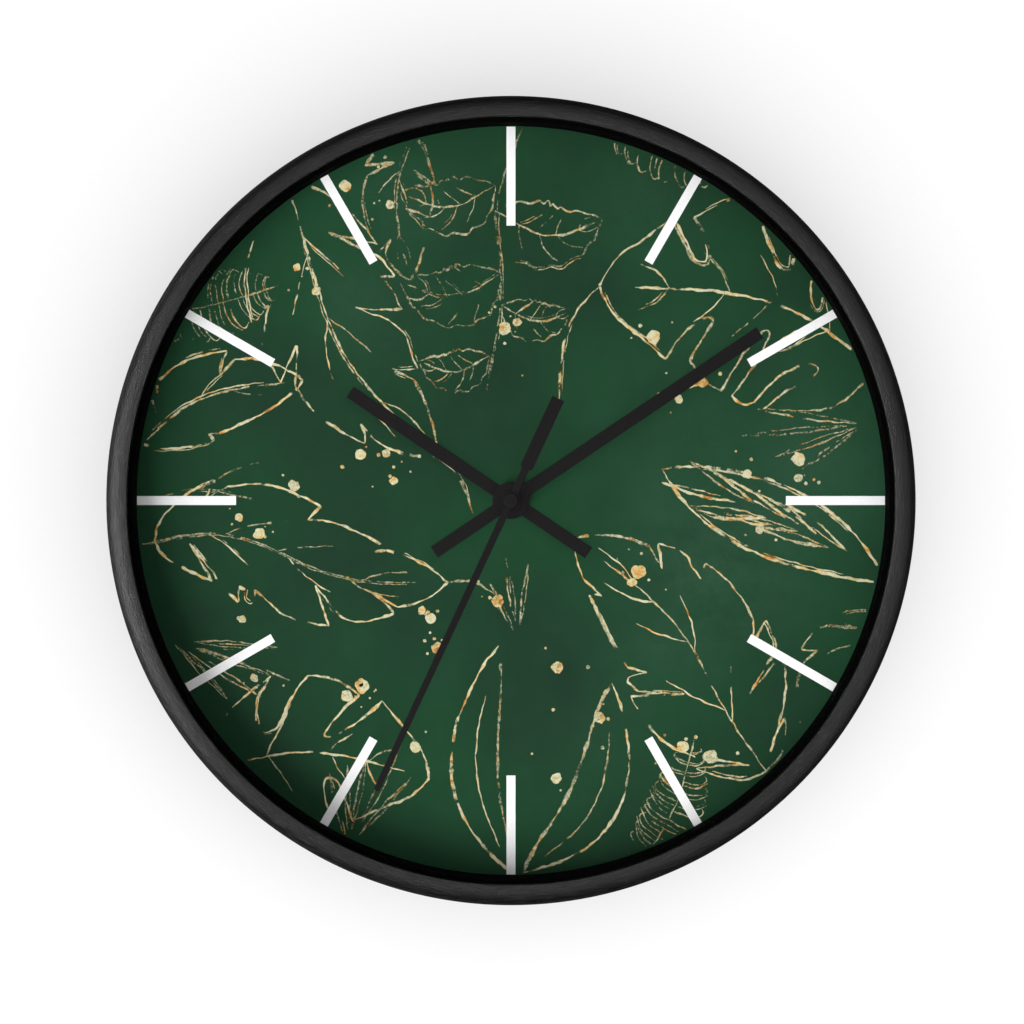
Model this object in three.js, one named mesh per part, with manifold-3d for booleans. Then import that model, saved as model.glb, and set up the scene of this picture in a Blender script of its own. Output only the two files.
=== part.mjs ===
// Round wall clock with a wooden hoop, a clear front, bar hands and a quartz movement.
// Millimetres. Each piece is drawn in the clock's own frame: u to the right, v up and
// w towards the reader, with w = 0 on the wall and the hands' axis at u = v = 0. The last
// lines turn that frame so that +Z is up, the dial faces -Y and the box's centre is the origin.

import * as THREE from 'three';
import { mergeVertices } from 'three/addons/utils/BufferGeometryUtils.js';
import Module from 'manifold-3d';

const manifold = await Module();
manifold.setup();

// ---------- Driving dimensions ----------

const HOOP_DIAMETER = 254;
const HOOP_DEPTH = 42;
const HOOP_RADIUS = HOOP_DIAMETER / 2;
const HOOP_BORE = 121.5;
const LIP_BORE = 120.1;
const LIP_DEPTH = 2.5;
const LIP_ROUNDING = 0.6;
const CROWN_HEIGHT = 0.5;
const OUTER_ROUNDING = 2.6;
const BACK_ROUNDING = 1.0;

const FIT_GAP = 0.3;
const REST_GAP = 0.1;
const RUNNING_GAP = 0.07;

// How far joined blocks reach into one another, and a cutting tool past the face it cuts.
const LAP = 0.1;
const CLEAR = 1;

// Stack of flat pieces behind the lip, as [low w, high w].
const LENS = [37.7, 39.2];
const SPACER = [28.2, 37.4];
const DIAL = [27.1, 27.9];
const BOARD = [23.8, 26.8];
const GASKET = [22.8, 23.6];
const HANGER_PLATE = [21.8, 22.6];
const WASHER = [28.0, 28.4];
const NUT = [28.5, 30.0];

const SPACER_BORE = 118.7;
const GASKET_RADIUS = 9;
const WASHER_RADIUS = 5.4;
const NUT_ACROSS_CORNERS = 10.9;

const POINT_COUNT = 6;
const POINT_FIRST_ANGLE = 30;
const POINT_THICKNESS = 0.7;
const POINT_WIDTH = 9;
const POINT_INNER = 106;
const POINT_BITE = 2.6;

// Movement case: a tray that opens to the rear, with a battery bay along the bottom.
const CASE = { left: -28, right: 28, bottom: -29.5, top: 26.5, corner: 3, wall: 1.4 };
const CASE_FRONT = 21.6;
const CASE_BACK = 5.6;
const COVER_FRONT = 7.0;
const BAY = { bottom: -28.3, top: -13.5, wall: 1.2 };

const BUSHING = {
  inner: 2.65, outer: 3.9, flange: 5.0, flangeFront: 20.1, flangeBack: 19.65, front: 30.2, chamfer: 0.4,
};

const BATTERY = {
  radius: 7.25, rim: 0.6, left: -25.3, shoulder: 24.0, right: 25.2, nub: 2.75, v: -20.9, w: 12.85,
};
// Half heights of a contact leaf at its end, its shoulder and its crest, which stands out by the bow.
const CONTACT = { gauge: 0.3, width: 6, end: 4.5, shoulder: 2.5, crest: 0.8, bow: 0.5 };

// Arbors, as [u, v], and the axes' distances from one another.
const CENTRE = [0, 0];
const THIRD_ARBOR = polar(CENTRE, 10.2, 150);
const REDUCTION_ARBOR = polar(CENTRE, 8.4, 40);
const ROTOR_ARBOR = polar(REDUCTION_ARBOR, 6.0, 30);
const MOTION_ARBOR = polar(CENTRE, 7.5, 0);
const SETTING_ARBOR = polar(MOTION_ARBOR, 7.5, -60);
const ARBOR_RADIUS = 0.5;
const ARBOR_BACK = 6.1;
const BRIDGE = { low: 15.25, high: 15.75, left: -19.5, right: 19.5, bottom: -11.5, top: 14.6, corner: 2 };
const BRIDGE_POSTS = [[-17.5, -9.5], [17.5, -9.5], [-17.5, 12.8], [17.5, 12.8]];
const POST_RADIUS = 1.3;

// Going train and motion work: teeth, module and the layer, as [low w, high w].
const GEARS = {
  rotorPinion: { teeth: 8, module: 0.25, layer: [10.7, 12.3] },
  reductionWheel: { teeth: 40, module: 0.25, layer: [11.1, 11.9] },
  reductionPinion: { teeth: 8, module: 0.3, layer: [11.9, 14.0] },
  secondsWheel: { teeth: 48, module: 0.3, layer: [12.6, 13.4] },
  secondsPinion: { teeth: 8, module: 0.3, layer: [13.4, 15.1] },
  thirdWheel: { teeth: 60, module: 0.3, layer: [14.2, 15.0] },
  thirdPinion: { teeth: 8, module: 20.4 / 72, layer: [15.9, 17.1] },
  minuteWheel: { teeth: 64, module: 20.4 / 72, layer: [15.95, 16.75] },
  cannonPinion: { teeth: 12, module: 0.3125, layer: [16.85, 18.55] },
  motionWheel: { teeth: 36, module: 0.3125, layer: [17.2, 18.0] },
  motionPinion: { teeth: 10, module: 0.3, layer: [18.0, 19.5] },
  hourWheel: { teeth: 40, module: 0.3, layer: [18.7, 19.5] },
  settingPinion: { teeth: 12, module: 0.3125, layer: [16.9, 18.3] },
};
const ADDENDUM = 0.8;
const DEDENDUM = 1.1;
const TIP_SHARE = 0.2;
const ROOT_SHARE = 0.5;

// Hands: clock angles in degrees from twelve, reaches from the axis, and plate layers.
const HOUR = { angle: 304.0, tip: 61.4, tail: 29.6, width: 4.1, hub: 5.2, plate: [31.0, 31.5] };
const MINUTE = { angle: 56.0, tip: 94.8, tail: 29.2, width: 4.1, hub: 5.85, plate: [33.0, 33.5] };
const SECOND = {
  angle: 204.9, tip: 100.7, tail: 35.4, width: 2.3, tipWidth: 2.0, hub: 1.9, tube: 1.1,
  plate: [35.3, 35.7], weightStart: 11.7, weightWidth: 4.1,
};
const COLLAR_WALL = 0.7;
// How far the seconds arbor ends behind its hand's front face.
const ARBOR_RECESS = 0.05;
const HOUR_PIPE = { inner: 1.75, outer: 2.5, front: 31.9 };
const MINUTE_PIPE = { inner: 0.75, outer: 1.6, front: 33.95 };
const MINUTE_BOSS = { radius: 3.4, front: 33.85 };
const SECOND_CAP = { radius: 2.45, back: 35.8, front: 36.6, rounding: 0.3 };

const HANGER = {
  width: 20, foot: -10, top: 45, bend: 29.5, tab: [9.0, 9.8],
  hook: 38, slotWidth: 4.2, headRadius: 4.2, headDrop: 6,
};
const KNOB = { radius: 5.0, low: 2.6, high: 5.4, flutes: 20, fluteDepth: 0.4, shaftEnd: 0.4 };

// The stepping motor: a U-shaped stator under a core that carries the coil.
const MAGNET = { radius: 3.0, low: 8.4, high: 10.4 };
const STATOR = {
  low: 9.0, high: 9.8, hole: 3.5, legEnd: 22.6, legWidth: 4, armBottom: 10,
  rotorLeft: 4.0, rotorBelow: 4.5, rotorAbove: 4.7,
};
const CORE = { left: -6, right: 21.5, low: 9.88, high: 10.68, bottom: 18.6, top: 22.6 };
const COIL = {
  v: 20.6, w: 10.28, flange: 3.0, tube: 2.4, winding: 2.85, left: -1.6, right: 17.1, cheek: 0.8,
};
const BOARD_CIRCUIT = { left: -26, right: -11, bottom: -10.5, top: 23.5, low: 8.0, high: 8.8 };
const CHIP = { u: -18.5, v: 6, half: 2.2, height: 0.9 };
const QUARTZ = { u: -22.5, low: 10, high: 16, radius: 1.0 };

// Sides of the round faces.
const HOOP_SIDES = 96;
const BUSH_SIDES = 24;
const ARBOR_SIDES = 12;
const DISC_SIDES = 40;

// ---------- Materials ----------

function finish(color, roughness, metalness, extra = {}) {
  return new THREE.MeshStandardMaterial({ color, roughness, metalness, ...extra });
}

const MATERIALS = {
  blackPaint: () => finish(0x161616, 0.45, 0),
  clearAcrylic: () => finish(0xf4f8f8, 0.08, 0, { transparent: true, opacity: 0.2 }),
  blackPlastic: () => finish(0x101010, 0.55, 0),
  printedDial: () => finish(0x234832, 0.7, 0),
  hardboard: () => finish(0x6d4c33, 0.85, 0),
  springSteel: () => finish(0xa9abad, 0.35, 1),
  rubber: () => finish(0x1c1c1c, 0.9, 0),
  whitePlastic: () => finish(0xe4e2da, 0.5, 0),
  brass: () => finish(0xc9a45a, 0.35, 1),
  copper: () => finish(0xb4683c, 0.4, 1),
  circuitGreen: () => finish(0x1f5a34, 0.5, 0),
  magnet: () => finish(0x4b4b4f, 0.6, 0.6),
  blackHand: () => finish(0x212021, 0.6, 0),
  batteryCan: () => finish(0x5a6068, 0.35, 0.8),
};

// ---------- Shapes and solids ----------

function polar([u, v], distance, degrees) {
  const angle = THREE.MathUtils.degToRad(degrees);
  return [u + distance * Math.cos(angle), v + distance * Math.sin(angle)];
}

function outline(points) {
  return new THREE.Shape(points.map(([u, v]) => new THREE.Vector2(u, v)));
}

function rectangle(left, bottom, right, top) {
  return outline([[left, bottom], [right, bottom], [right, top], [left, top]]);
}

function roundedRectangle(left, bottom, right, top, radius) {
  const shape = new THREE.Shape();
  shape.moveTo(left + radius, bottom);
  shape.absarc(right - radius, bottom + radius, radius, -Math.PI / 2, 0);
  shape.absarc(right - radius, top - radius, radius, 0, Math.PI / 2);
  shape.absarc(left + radius, top - radius, radius, Math.PI / 2, Math.PI);
  shape.absarc(left + radius, bottom + radius, radius, Math.PI, Math.PI * 1.5);
  return shape;
}

function circle([u, v], radius, sides) {
  const corner = (i) => polar([u, v], radius, (360 * i) / sides);
  return outline(Array.from({ length: sides }, (_, i) => corner(i)));
}

function withHoles(shape, holes) {
  shape.holes.push(...holes);
  return shape;
}

function plate(shape, [low, high], curveSegments = 4) {
  const options = { depth: high - low, bevelEnabled: false, curveSegments };
  return new THREE.ExtrudeGeometry(shape, options).translate(0, 0, low);
}

function disc(centre, radius, layer, sides) {
  return plate(circle(centre, radius, sides), layer);
}

function ring(inner, outer, layer, sides) {
  return plate(withHoles(circle(CENTRE, outer, sides), [circle(CENTRE, inner, sides)]), layer);
}

// Turns a profile of [radius, w] points about the w axis. The profile closes on itself.
function turned(profile, sides) {
  const points = [...profile, profile[0]].map(([radius, w]) => new THREE.Vector2(radius, w));
  return new THREE.LatheGeometry(points, sides).rotateX(Math.PI / 2);
}

function arcPoints(centreX, centreY, radius, fromDegrees, toDegrees, steps) {
  const angle = (i) => fromDegrees + ((toDegrees - fromDegrees) * i) / steps;
  return Array.from({ length: steps + 1 }, (_, i) => polar([centreX, centreY], radius, angle(i)));
}

function toSolid(geometry) {
  const bare = geometry.clone();
  bare.deleteAttribute('normal');
  bare.deleteAttribute('uv');
  const merged = mergeVertices(bare, 1e-5);
  return new manifold.Manifold(new manifold.Mesh({
    numProp: 3,
    vertProperties: new Float32Array(merged.attributes.position.array),
    triVerts: new Uint32Array(merged.index.array),
  }));
}

function toGeometry(solid) {
  const mesh = solid.getMesh();
  const geometry = new THREE.BufferGeometry();
  geometry.setAttribute('position', new THREE.BufferAttribute(mesh.vertProperties, 3));
  geometry.setIndex(new THREE.BufferAttribute(mesh.triVerts, 1));
  geometry.computeVertexNormals();
  return geometry;
}

function joined(...geometries) {
  return toGeometry(geometries.map(toSolid).reduce((whole, next) => whole.add(next)));
}

function cutBy(geometry, ...tools) {
  return toGeometry(tools.map(toSolid).reduce((whole, tool) => whole.subtract(tool), toSolid(geometry)));
}

function piece(name, geometry, material) {
  const mesh = new THREE.Mesh(geometry, material());
  mesh.name = name;
  return mesh;
}

// ---------- Gears ----------

// Trapezoidal teeth with side clearance. The phase is the angle of one tooth's middle.
function gearOutline({ teeth, module }, centre, phase) {
  const pitchRadius = (teeth * module) / 2;
  const root = pitchRadius - DEDENDUM * module;
  const tip = pitchRadius + ADDENDUM * module;
  const pitch = 360 / teeth;
  const corners = [
    [root, -ROOT_SHARE / 2], [tip, -TIP_SHARE / 2], [tip, TIP_SHARE / 2], [root, ROOT_SHARE / 2],
  ];
  const tooth = (i) => corners.map(([radius, share]) => polar(centre, radius, phase + (i + share) * pitch));
  return outline(Array.from({ length: teeth }, (_, i) => tooth(i)).flat());
}

function gear(spec, centre, phase) {
  return plate(gearOutline(spec, centre, phase), spec.layer);
}

// The phase of a driven gear whose gap meets a tooth of its driver on their line of centres.
function meshPhase(driver, driverCentre, driverPhase, driven, drivenCentre) {
  const du = drivenCentre[0] - driverCentre[0];
  const dv = drivenCentre[1] - driverCentre[1];
  const line = THREE.MathUtils.radToDeg(Math.atan2(dv, du));
  const driverShare = ((line - driverPhase) * driver.teeth) / 360;
  return line + 180 - ((0.5 - driverShare) * 360) / driven.teeth;
}

function arbor(centre, low, high, radius = ARBOR_RADIUS) {
  return disc(centre, radius, [low, high], ARBOR_SIDES);
}

// Every pinion keeps phase 0; each wheel below is turned to mesh with its driver.
const PHASES = Object.fromEntries(Object.keys(GEARS).map((name) => [name, 0]));
const MESHES = [
  ['rotorPinion', ROTOR_ARBOR, 'reductionWheel', REDUCTION_ARBOR],
  ['reductionPinion', REDUCTION_ARBOR, 'secondsWheel', CENTRE],
  ['secondsPinion', CENTRE, 'thirdWheel', THIRD_ARBOR],
  ['thirdPinion', THIRD_ARBOR, 'minuteWheel', CENTRE],
  ['cannonPinion', CENTRE, 'motionWheel', MOTION_ARBOR],
  ['motionPinion', MOTION_ARBOR, 'hourWheel', CENTRE],
  ['motionWheel', MOTION_ARBOR, 'settingPinion', SETTING_ARBOR],
];
for (const [driver, driverCentre, driven, drivenCentre] of MESHES) {
  PHASES[driven] = meshPhase(GEARS[driver], driverCentre, PHASES[driver], GEARS[driven], drivenCentre);
}

function toothed(name, centre) {
  return gear(GEARS[name], centre, PHASES[name]);
}

// ---------- Frame, dial and back ----------

function pointBlank(index, gap) {
  const outer = HOOP_BORE + POINT_BITE + gap;
  const half = POINT_WIDTH / 2 + gap;
  const high = BOARD[0] - REST_GAP;
  const thickness = [high - POINT_THICKNESS - gap, high + gap];
  const blank = plate(rectangle(POINT_INNER, -half, outer, half), thickness);
  const angle = POINT_FIRST_ANGLE + (360 * index) / POINT_COUNT;
  return blank.rotateZ(THREE.MathUtils.degToRad(angle));
}

function hoop() {
  const lipBack = HOOP_DEPTH - LIP_DEPTH;
  const crownFoot = HOOP_DEPTH - CROWN_HEIGHT;
  const bandMiddle = (LIP_BORE + HOOP_RADIUS - OUTER_ROUNDING) / 2;
  const profile = [
    [HOOP_BORE, 0],
    [HOOP_BORE, lipBack],
    [LIP_BORE, lipBack],
    ...arcPoints(LIP_BORE + LIP_ROUNDING, crownFoot - LIP_ROUNDING, LIP_ROUNDING, 180, 100, 2),
    [bandMiddle, HOOP_DEPTH],
    ...arcPoints(HOOP_RADIUS - OUTER_ROUNDING, crownFoot - OUTER_ROUNDING, OUTER_ROUNDING, 80, 0, 4),
    ...arcPoints(HOOP_RADIUS - BACK_ROUNDING, BACK_ROUNDING, BACK_ROUNDING, 0, -90, 2),
  ].reverse();
  const slots = Array.from({ length: POINT_COUNT }, (_, i) => pointBlank(i, REST_GAP));
  return cutBy(turned(profile, HOOP_SIDES), ...slots);
}

function framePieces() {
  const inside = HOOP_BORE - FIT_GAP;
  const neck = BUSHING.outer + REST_GAP;
  const sheet = () => withHoles(circle(CENTRE, inside, HOOP_SIDES), [circle(CENTRE, neck, BUSH_SIDES)]);
  return [
    piece('frame_hoop', hoop(), MATERIALS.blackPaint),
    piece('lens', disc(CENTRE, inside, LENS, HOOP_SIDES), MATERIALS.clearAcrylic),
    piece('spacer_ring', ring(SPACER_BORE, inside, SPACER, HOOP_SIDES), MATERIALS.blackPlastic),
    piece('dial', plate(sheet(), DIAL), MATERIALS.printedDial),
    piece('backing_board', plate(sheet(), BOARD), MATERIALS.hardboard),
    ...Array.from({ length: POINT_COUNT }, (_, i) =>
      piece(`retaining_point_${i + 1}`, pointBlank(i, 0), MATERIALS.springSteel)),
  ];
}

// ---------- Hanger and clamping stack ----------

// A strip bent twice, so that its tab stands nearer the wall, with a keyhole in the tab.
function hanger() {
  const [back, front] = HANGER_PLATE;
  const [tabBack, tabFront] = HANGER.tab;
  const gauge = front - back;
  const strip = outline([
    [HANGER.foot, back], [HANGER.bend - gauge, back], [HANGER.bend - gauge, tabBack],
    [HANGER.top, tabBack], [HANGER.top, tabFront], [HANGER.bend, tabFront],
    [HANGER.bend, front], [HANGER.foot, front],
  ]);
  // The strip's outline is in (v, w), and its width runs along u.
  const bent = new THREE.ExtrudeGeometry(strip, { depth: HANGER.width, bevelEnabled: false });
  bent.translate(0, 0, -HANGER.width / 2);
  bent.applyMatrix4(new THREE.Matrix4().set(0, 0, 1, 0, 1, 0, 0, 0, 0, 1, 0, 0, 0, 0, 0, 1));
  const through = [tabBack - CLEAR, tabFront + CLEAR];
  const half = HANGER.slotWidth / 2;
  const head = HANGER.hook - HANGER.headDrop;
  return cutBy(
    bent,
    disc(CENTRE, BUSHING.outer + REST_GAP, [back - CLEAR, front + CLEAR], BUSH_SIDES),
    disc([0, HANGER.hook], half, through, ARBOR_SIDES),
    plate(rectangle(-half, head, half, HANGER.hook), through),
    disc([0, head + HANGER.headRadius / 2], HANGER.headRadius, through, BUSH_SIDES),
  );
}

function clampPieces() {
  const neck = BUSHING.outer + REST_GAP;
  const nut = withHoles(circle(CENTRE, NUT_ACROSS_CORNERS / 2, 6), [circle(CENTRE, neck, BUSH_SIDES)]);
  return [
    piece('gasket', ring(neck, GASKET_RADIUS, GASKET, BUSH_SIDES), MATERIALS.rubber),
    piece('hanger', hanger(), MATERIALS.springSteel),
    piece('dial_washer', ring(neck, WASHER_RADIUS, WASHER, BUSH_SIDES), MATERIALS.brass),
    piece('dial_nut', plate(nut, NUT), MATERIALS.brass),
  ];
}

// ---------- Movement case ----------

function movementShell() {
  const { left, right, bottom, top, corner, wall } = CASE;
  const body = () => roundedRectangle(left, bottom, right, top, corner);
  const bayHole = () => rectangle(left + wall, BAY.bottom, right - wall, BAY.top);
  const gearHole = rectangle(left + wall, BAY.top + BAY.wall, right - wall, top - wall);
  const face = withHoles(body(), [
    circle(CENTRE, BUSHING.outer + REST_GAP, BUSH_SIDES),
    circle(THIRD_ARBOR, ARBOR_RADIUS + RUNNING_GAP, ARBOR_SIDES),
    circle(MOTION_ARBOR, ARBOR_RADIUS + RUNNING_GAP, ARBOR_SIDES),
  ]);
  const bayFrame = rectangle(left, bottom, right, BAY.top + BAY.wall);
  const innerFace = CASE_FRONT - wall;
  const wallBack = COVER_FRONT + REST_GAP;
  const postLayer = [BRIDGE.high + REST_GAP, innerFace + LAP];
  return joined(
    plate(face, [innerFace, CASE_FRONT]),
    plate(withHoles(body(), [bayHole(), gearHole]), [wallBack, innerFace + LAP]),
    plate(withHoles(bayFrame, [bayHole()]), [CASE_BACK, wallBack + LAP]),
    ...BRIDGE_POSTS.map((at) => disc(at, POST_RADIUS, postLayer, ARBOR_SIDES)),
  );
}

function pivotHoles(arbors) {
  return arbors.map((at) => circle(at, ARBOR_RADIUS + RUNNING_GAP, ARBOR_SIDES));
}

function movementCover() {
  const low = BAY.top + BAY.wall + REST_GAP;
  const body = roundedRectangle(CASE.left, low, CASE.right, CASE.top, CASE.corner);
  const holes = pivotHoles([CENTRE, THIRD_ARBOR, REDUCTION_ARBOR, ROTOR_ARBOR, SETTING_ARBOR]);
  return plate(withHoles(body, holes), [CASE_BACK, COVER_FRONT]);
}

function bridgePlate() {
  const body = roundedRectangle(BRIDGE.left, BRIDGE.bottom, BRIDGE.right, BRIDGE.top, BRIDGE.corner);
  const holes = pivotHoles([CENTRE, THIRD_ARBOR, REDUCTION_ARBOR, ROTOR_ARBOR, SETTING_ARBOR]);
  return plate(withHoles(body, holes), [BRIDGE.low, BRIDGE.high], 2);
}

function bushing() {
  const { inner, outer, flange, flangeFront, flangeBack, front, chamfer } = BUSHING;
  return turned([
    [inner, flangeBack], [flange, flangeBack], [flange, flangeFront], [outer, flangeFront],
    [outer, front - chamfer], [outer - chamfer, front], [inner, front],
  ], BUSH_SIDES);
}

function casePieces() {
  return [
    piece('movement_shell', movementShell(), MATERIALS.blackPlastic),
    piece('movement_cover', movementCover(), MATERIALS.blackPlastic),
    piece('bridge_plate', bridgePlate(), MATERIALS.whitePlastic),
    piece('center_bushing', bushing(), MATERIALS.brass),
  ];
}

// ---------- Stepping motor, circuit and battery ----------

function stator() {
  const { low, high, hole, legEnd, legWidth, armBottom, rotorLeft, rotorBelow, rotorAbove } = STATOR;
  const [rotorU, rotorV] = ROTOR_ARBOR;
  const baseTop = rotorV + rotorAbove;
  const arm = outline([
    [CORE.left, armBottom], [rotorU - rotorLeft, armBottom], [rotorU - rotorLeft, rotorV - rotorBelow],
    [CORE.right, rotorV - rotorBelow], [CORE.right, legEnd], [CORE.right - legWidth, legEnd],
    [CORE.right - legWidth, baseTop], [CORE.left + legWidth, baseTop],
    [CORE.left + legWidth, legEnd], [CORE.left, legEnd],
  ]);
  return plate(withHoles(arm, [circle(ROTOR_ARBOR, hole, BUSH_SIDES)]), [low, high]);
}

// A spool about the coil's own axis, which lies along u.
function alongCoil(geometry) {
  return geometry.rotateY(Math.PI / 2).translate(0, COIL.v, COIL.w);
}

function bobbin() {
  const { left, right, cheek, flange, tube } = COIL;
  const spool = alongCoil(turned([
    [0, left], [flange, left], [flange, left + cheek], [tube, left + cheek],
    [tube, right - cheek], [flange, right - cheek], [flange, right], [0, right],
  ], ARBOR_SIDES));
  const passage = plate(
    rectangle(left - CLEAR, CORE.bottom - REST_GAP, right + CLEAR, CORE.top + REST_GAP),
    [CORE.low - REST_GAP, CORE.high + REST_GAP],
  );
  return cutBy(spool, passage);
}

function winding() {
  const low = COIL.left + COIL.cheek + REST_GAP;
  const high = COIL.right - COIL.cheek - REST_GAP;
  return alongCoil(ring(COIL.tube + REST_GAP, COIL.winding, [low, high], ARBOR_SIDES));
}

function circuitPieces() {
  const { left, right, bottom, top, low, high } = BOARD_CIRCUIT;
  const base = high + REST_GAP / 2;
  const quartz = disc(CENTRE, QUARTZ.radius, [QUARTZ.low, QUARTZ.high], ARBOR_SIDES);
  quartz.rotateX(-Math.PI / 2).translate(QUARTZ.u, 0, base + QUARTZ.radius);
  const chip = rectangle(CHIP.u - CHIP.half, CHIP.v - CHIP.half, CHIP.u + CHIP.half, CHIP.v + CHIP.half);
  return [
    piece('circuit_board', plate(rectangle(left, bottom, right, top), [low, high]), MATERIALS.circuitGreen),
    piece('control_chip', plate(chip, [base, base + CHIP.height]), MATERIALS.blackPlastic),
    piece('quartz_can', quartz, MATERIALS.springSteel),
  ];
}

// A leaf of spring steel, bowed towards the battery's end. The bow points along side.
function contactLeaf(side, foot) {
  const { gauge, width, end, shoulder, crest, bow } = CONTACT;
  const face = (inset) => {
    const flat = foot - side * inset;
    const bowed = flat - side * bow;
    return [[flat, -end], [flat, -shoulder], [bowed, -crest], [bowed, crest], [flat, shoulder], [flat, end]];
  };
  const leaf = new THREE.ExtrudeGeometry(
    outline([...face(0), ...face(gauge).reverse()]),
    { depth: width, bevelEnabled: false },
  );
  // The leaf's outline is in (u, w), and its width runs along v.
  return leaf.translate(0, 0, -width / 2).rotateX(Math.PI / 2).translate(0, BATTERY.v, BATTERY.w);
}

function batterySolid() {
  const { radius, rim, left, shoulder, right, nub, v, w } = BATTERY;
  const can = turned([
    [0, left], [radius - rim, left], [radius, left + rim], [radius, shoulder - rim],
    [radius - rim, shoulder], [nub, shoulder], [nub, right], [0, right],
  ], BUSH_SIDES);
  return can.rotateY(Math.PI / 2).translate(0, v, w);
}

function electricPieces() {
  const footRight = CASE.right - CASE.wall - REST_GAP;
  const footLeft = CASE.left + CASE.wall + REST_GAP;
  const core = rectangle(CORE.left, CORE.bottom, CORE.right, CORE.top);
  return [
    piece('stator_plate', stator(), MATERIALS.springSteel),
    piece('coil_core', plate(core, [CORE.low, CORE.high]), MATERIALS.springSteel),
    piece('coil_bobbin', bobbin(), MATERIALS.whitePlastic),
    piece('coil_winding', winding(), MATERIALS.copper),
    ...circuitPieces(),
    piece('contact_positive', contactLeaf(1, footRight), MATERIALS.springSteel),
    piece('contact_negative', contactLeaf(-1, footLeft), MATERIALS.springSteel),
    piece('battery', batterySolid(), MATERIALS.batteryCan),
  ];
}

// ---------- Wheels and pipes ----------

function rotorPieces() {
  const { radius, low, high } = MAGNET;
  const pinion = joined(toothed('rotorPinion', ROTOR_ARBOR), arbor(ROTOR_ARBOR, ARBOR_BACK, BRIDGE.high));
  const magnet = withHoles(circle(ROTOR_ARBOR, radius, BUSH_SIDES), pivotHoles([ROTOR_ARBOR]));
  return [
    piece('rotor_magnet', plate(magnet, [low, high]), MATERIALS.magnet),
    piece('rotor_pinion', pinion, MATERIALS.whitePlastic),
  ];
}

function reductionWheel() {
  return joined(
    toothed('reductionWheel', REDUCTION_ARBOR),
    toothed('reductionPinion', REDUCTION_ARBOR),
    arbor(REDUCTION_ARBOR, ARBOR_BACK, BRIDGE.high),
  );
}

function secondsWheel() {
  const boreLayer = [GEARS.secondsWheel.layer[0] - CLEAR, BRIDGE.high];
  const bore = disc(CENTRE, ARBOR_RADIUS + RUNNING_GAP, boreLayer, ARBOR_SIDES);
  return cutBy(joined(toothed('secondsWheel', CENTRE), toothed('secondsPinion', CENTRE)), bore);
}

function thirdWheel() {
  const front = CASE_FRONT - CASE.wall / 2;
  return joined(
    toothed('thirdWheel', THIRD_ARBOR),
    toothed('thirdPinion', THIRD_ARBOR),
    arbor(THIRD_ARBOR, ARBOR_BACK, front),
  );
}

function minuteWheel() {
  const seat = circle(CENTRE, MINUTE_PIPE.outer + RUNNING_GAP, BUSH_SIDES);
  const wheel = gearOutline(GEARS.minuteWheel, CENTRE, PHASES.minuteWheel);
  return plate(withHoles(wheel, [seat]), GEARS.minuteWheel.layer);
}

function minutePipe() {
  const tube = disc(CENTRE, MINUTE_PIPE.outer, [GEARS.minuteWheel.layer[0], MINUTE_PIPE.front], BUSH_SIDES);
  const bore = disc(CENTRE, MINUTE_PIPE.inner, [BRIDGE.high, MINUTE_PIPE.front + CLEAR], BUSH_SIDES);
  return cutBy(joined(toothed('cannonPinion', CENTRE), tube), bore);
}

function motionWheel() {
  const front = CASE_FRONT - CASE.wall / 2;
  return joined(
    toothed('motionWheel', MOTION_ARBOR),
    toothed('motionPinion', MOTION_ARBOR),
    arbor(MOTION_ARBOR, GEARS.motionWheel.layer[0], front),
  );
}

function hourWheel() {
  const pipe = disc(CENTRE, HOUR_PIPE.outer, [GEARS.hourWheel.layer[0], HOUR_PIPE.front], BUSH_SIDES);
  const bore = disc(CENTRE, HOUR_PIPE.inner, [BRIDGE.high, HOUR_PIPE.front + CLEAR], BUSH_SIDES);
  return cutBy(joined(toothed('hourWheel', CENTRE), pipe), bore);
}

function settingKnob() {
  const { radius, fluteDepth, flutes, low, high } = KNOB;
  const rim = Array.from({ length: flutes * 2 }, (_, i) =>
    polar(SETTING_ARBOR, radius - (i % 2) * fluteDepth, (180 * i) / flutes));
  return plate(outline(rim), [low, high]);
}

function settingPieces() {
  const shaftFront = GEARS.settingPinion.layer[1] + KNOB.shaftEnd;
  const shaft = arbor(SETTING_ARBOR, KNOB.high + REST_GAP / 2, shaftFront);
  return [
    piece('setting_arbor', joined(toothed('settingPinion', SETTING_ARBOR), shaft), MATERIALS.whitePlastic),
    piece('setting_knob', settingKnob(), MATERIALS.blackPlastic),
  ];
}

function trainPieces() {
  const shaftFront = SECOND.plate[1] - ARBOR_RECESS;
  return [
    ...rotorPieces(),
    piece('reduction_wheel', reductionWheel(), MATERIALS.whitePlastic),
    piece('seconds_wheel', secondsWheel(), MATERIALS.whitePlastic),
    piece('seconds_arbor', arbor(CENTRE, ARBOR_BACK, shaftFront), MATERIALS.springSteel),
    piece('third_wheel', thirdWheel(), MATERIALS.whitePlastic),
    piece('minute_wheel', minuteWheel(), MATERIALS.whitePlastic),
    piece('minute_pipe', minutePipe(), MATERIALS.whitePlastic),
    piece('motion_wheel', motionWheel(), MATERIALS.whitePlastic),
    piece('hour_wheel', hourWheel(), MATERIALS.whitePlastic),
    ...settingPieces(),
  ];
}

// ---------- Hands ----------

// A hand is drawn pointing at twelve, then turned clockwise to its clock angle.
function atClockAngle(geometry, degrees) {
  return geometry.rotateZ(-THREE.MathUtils.degToRad(degrees));
}

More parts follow.
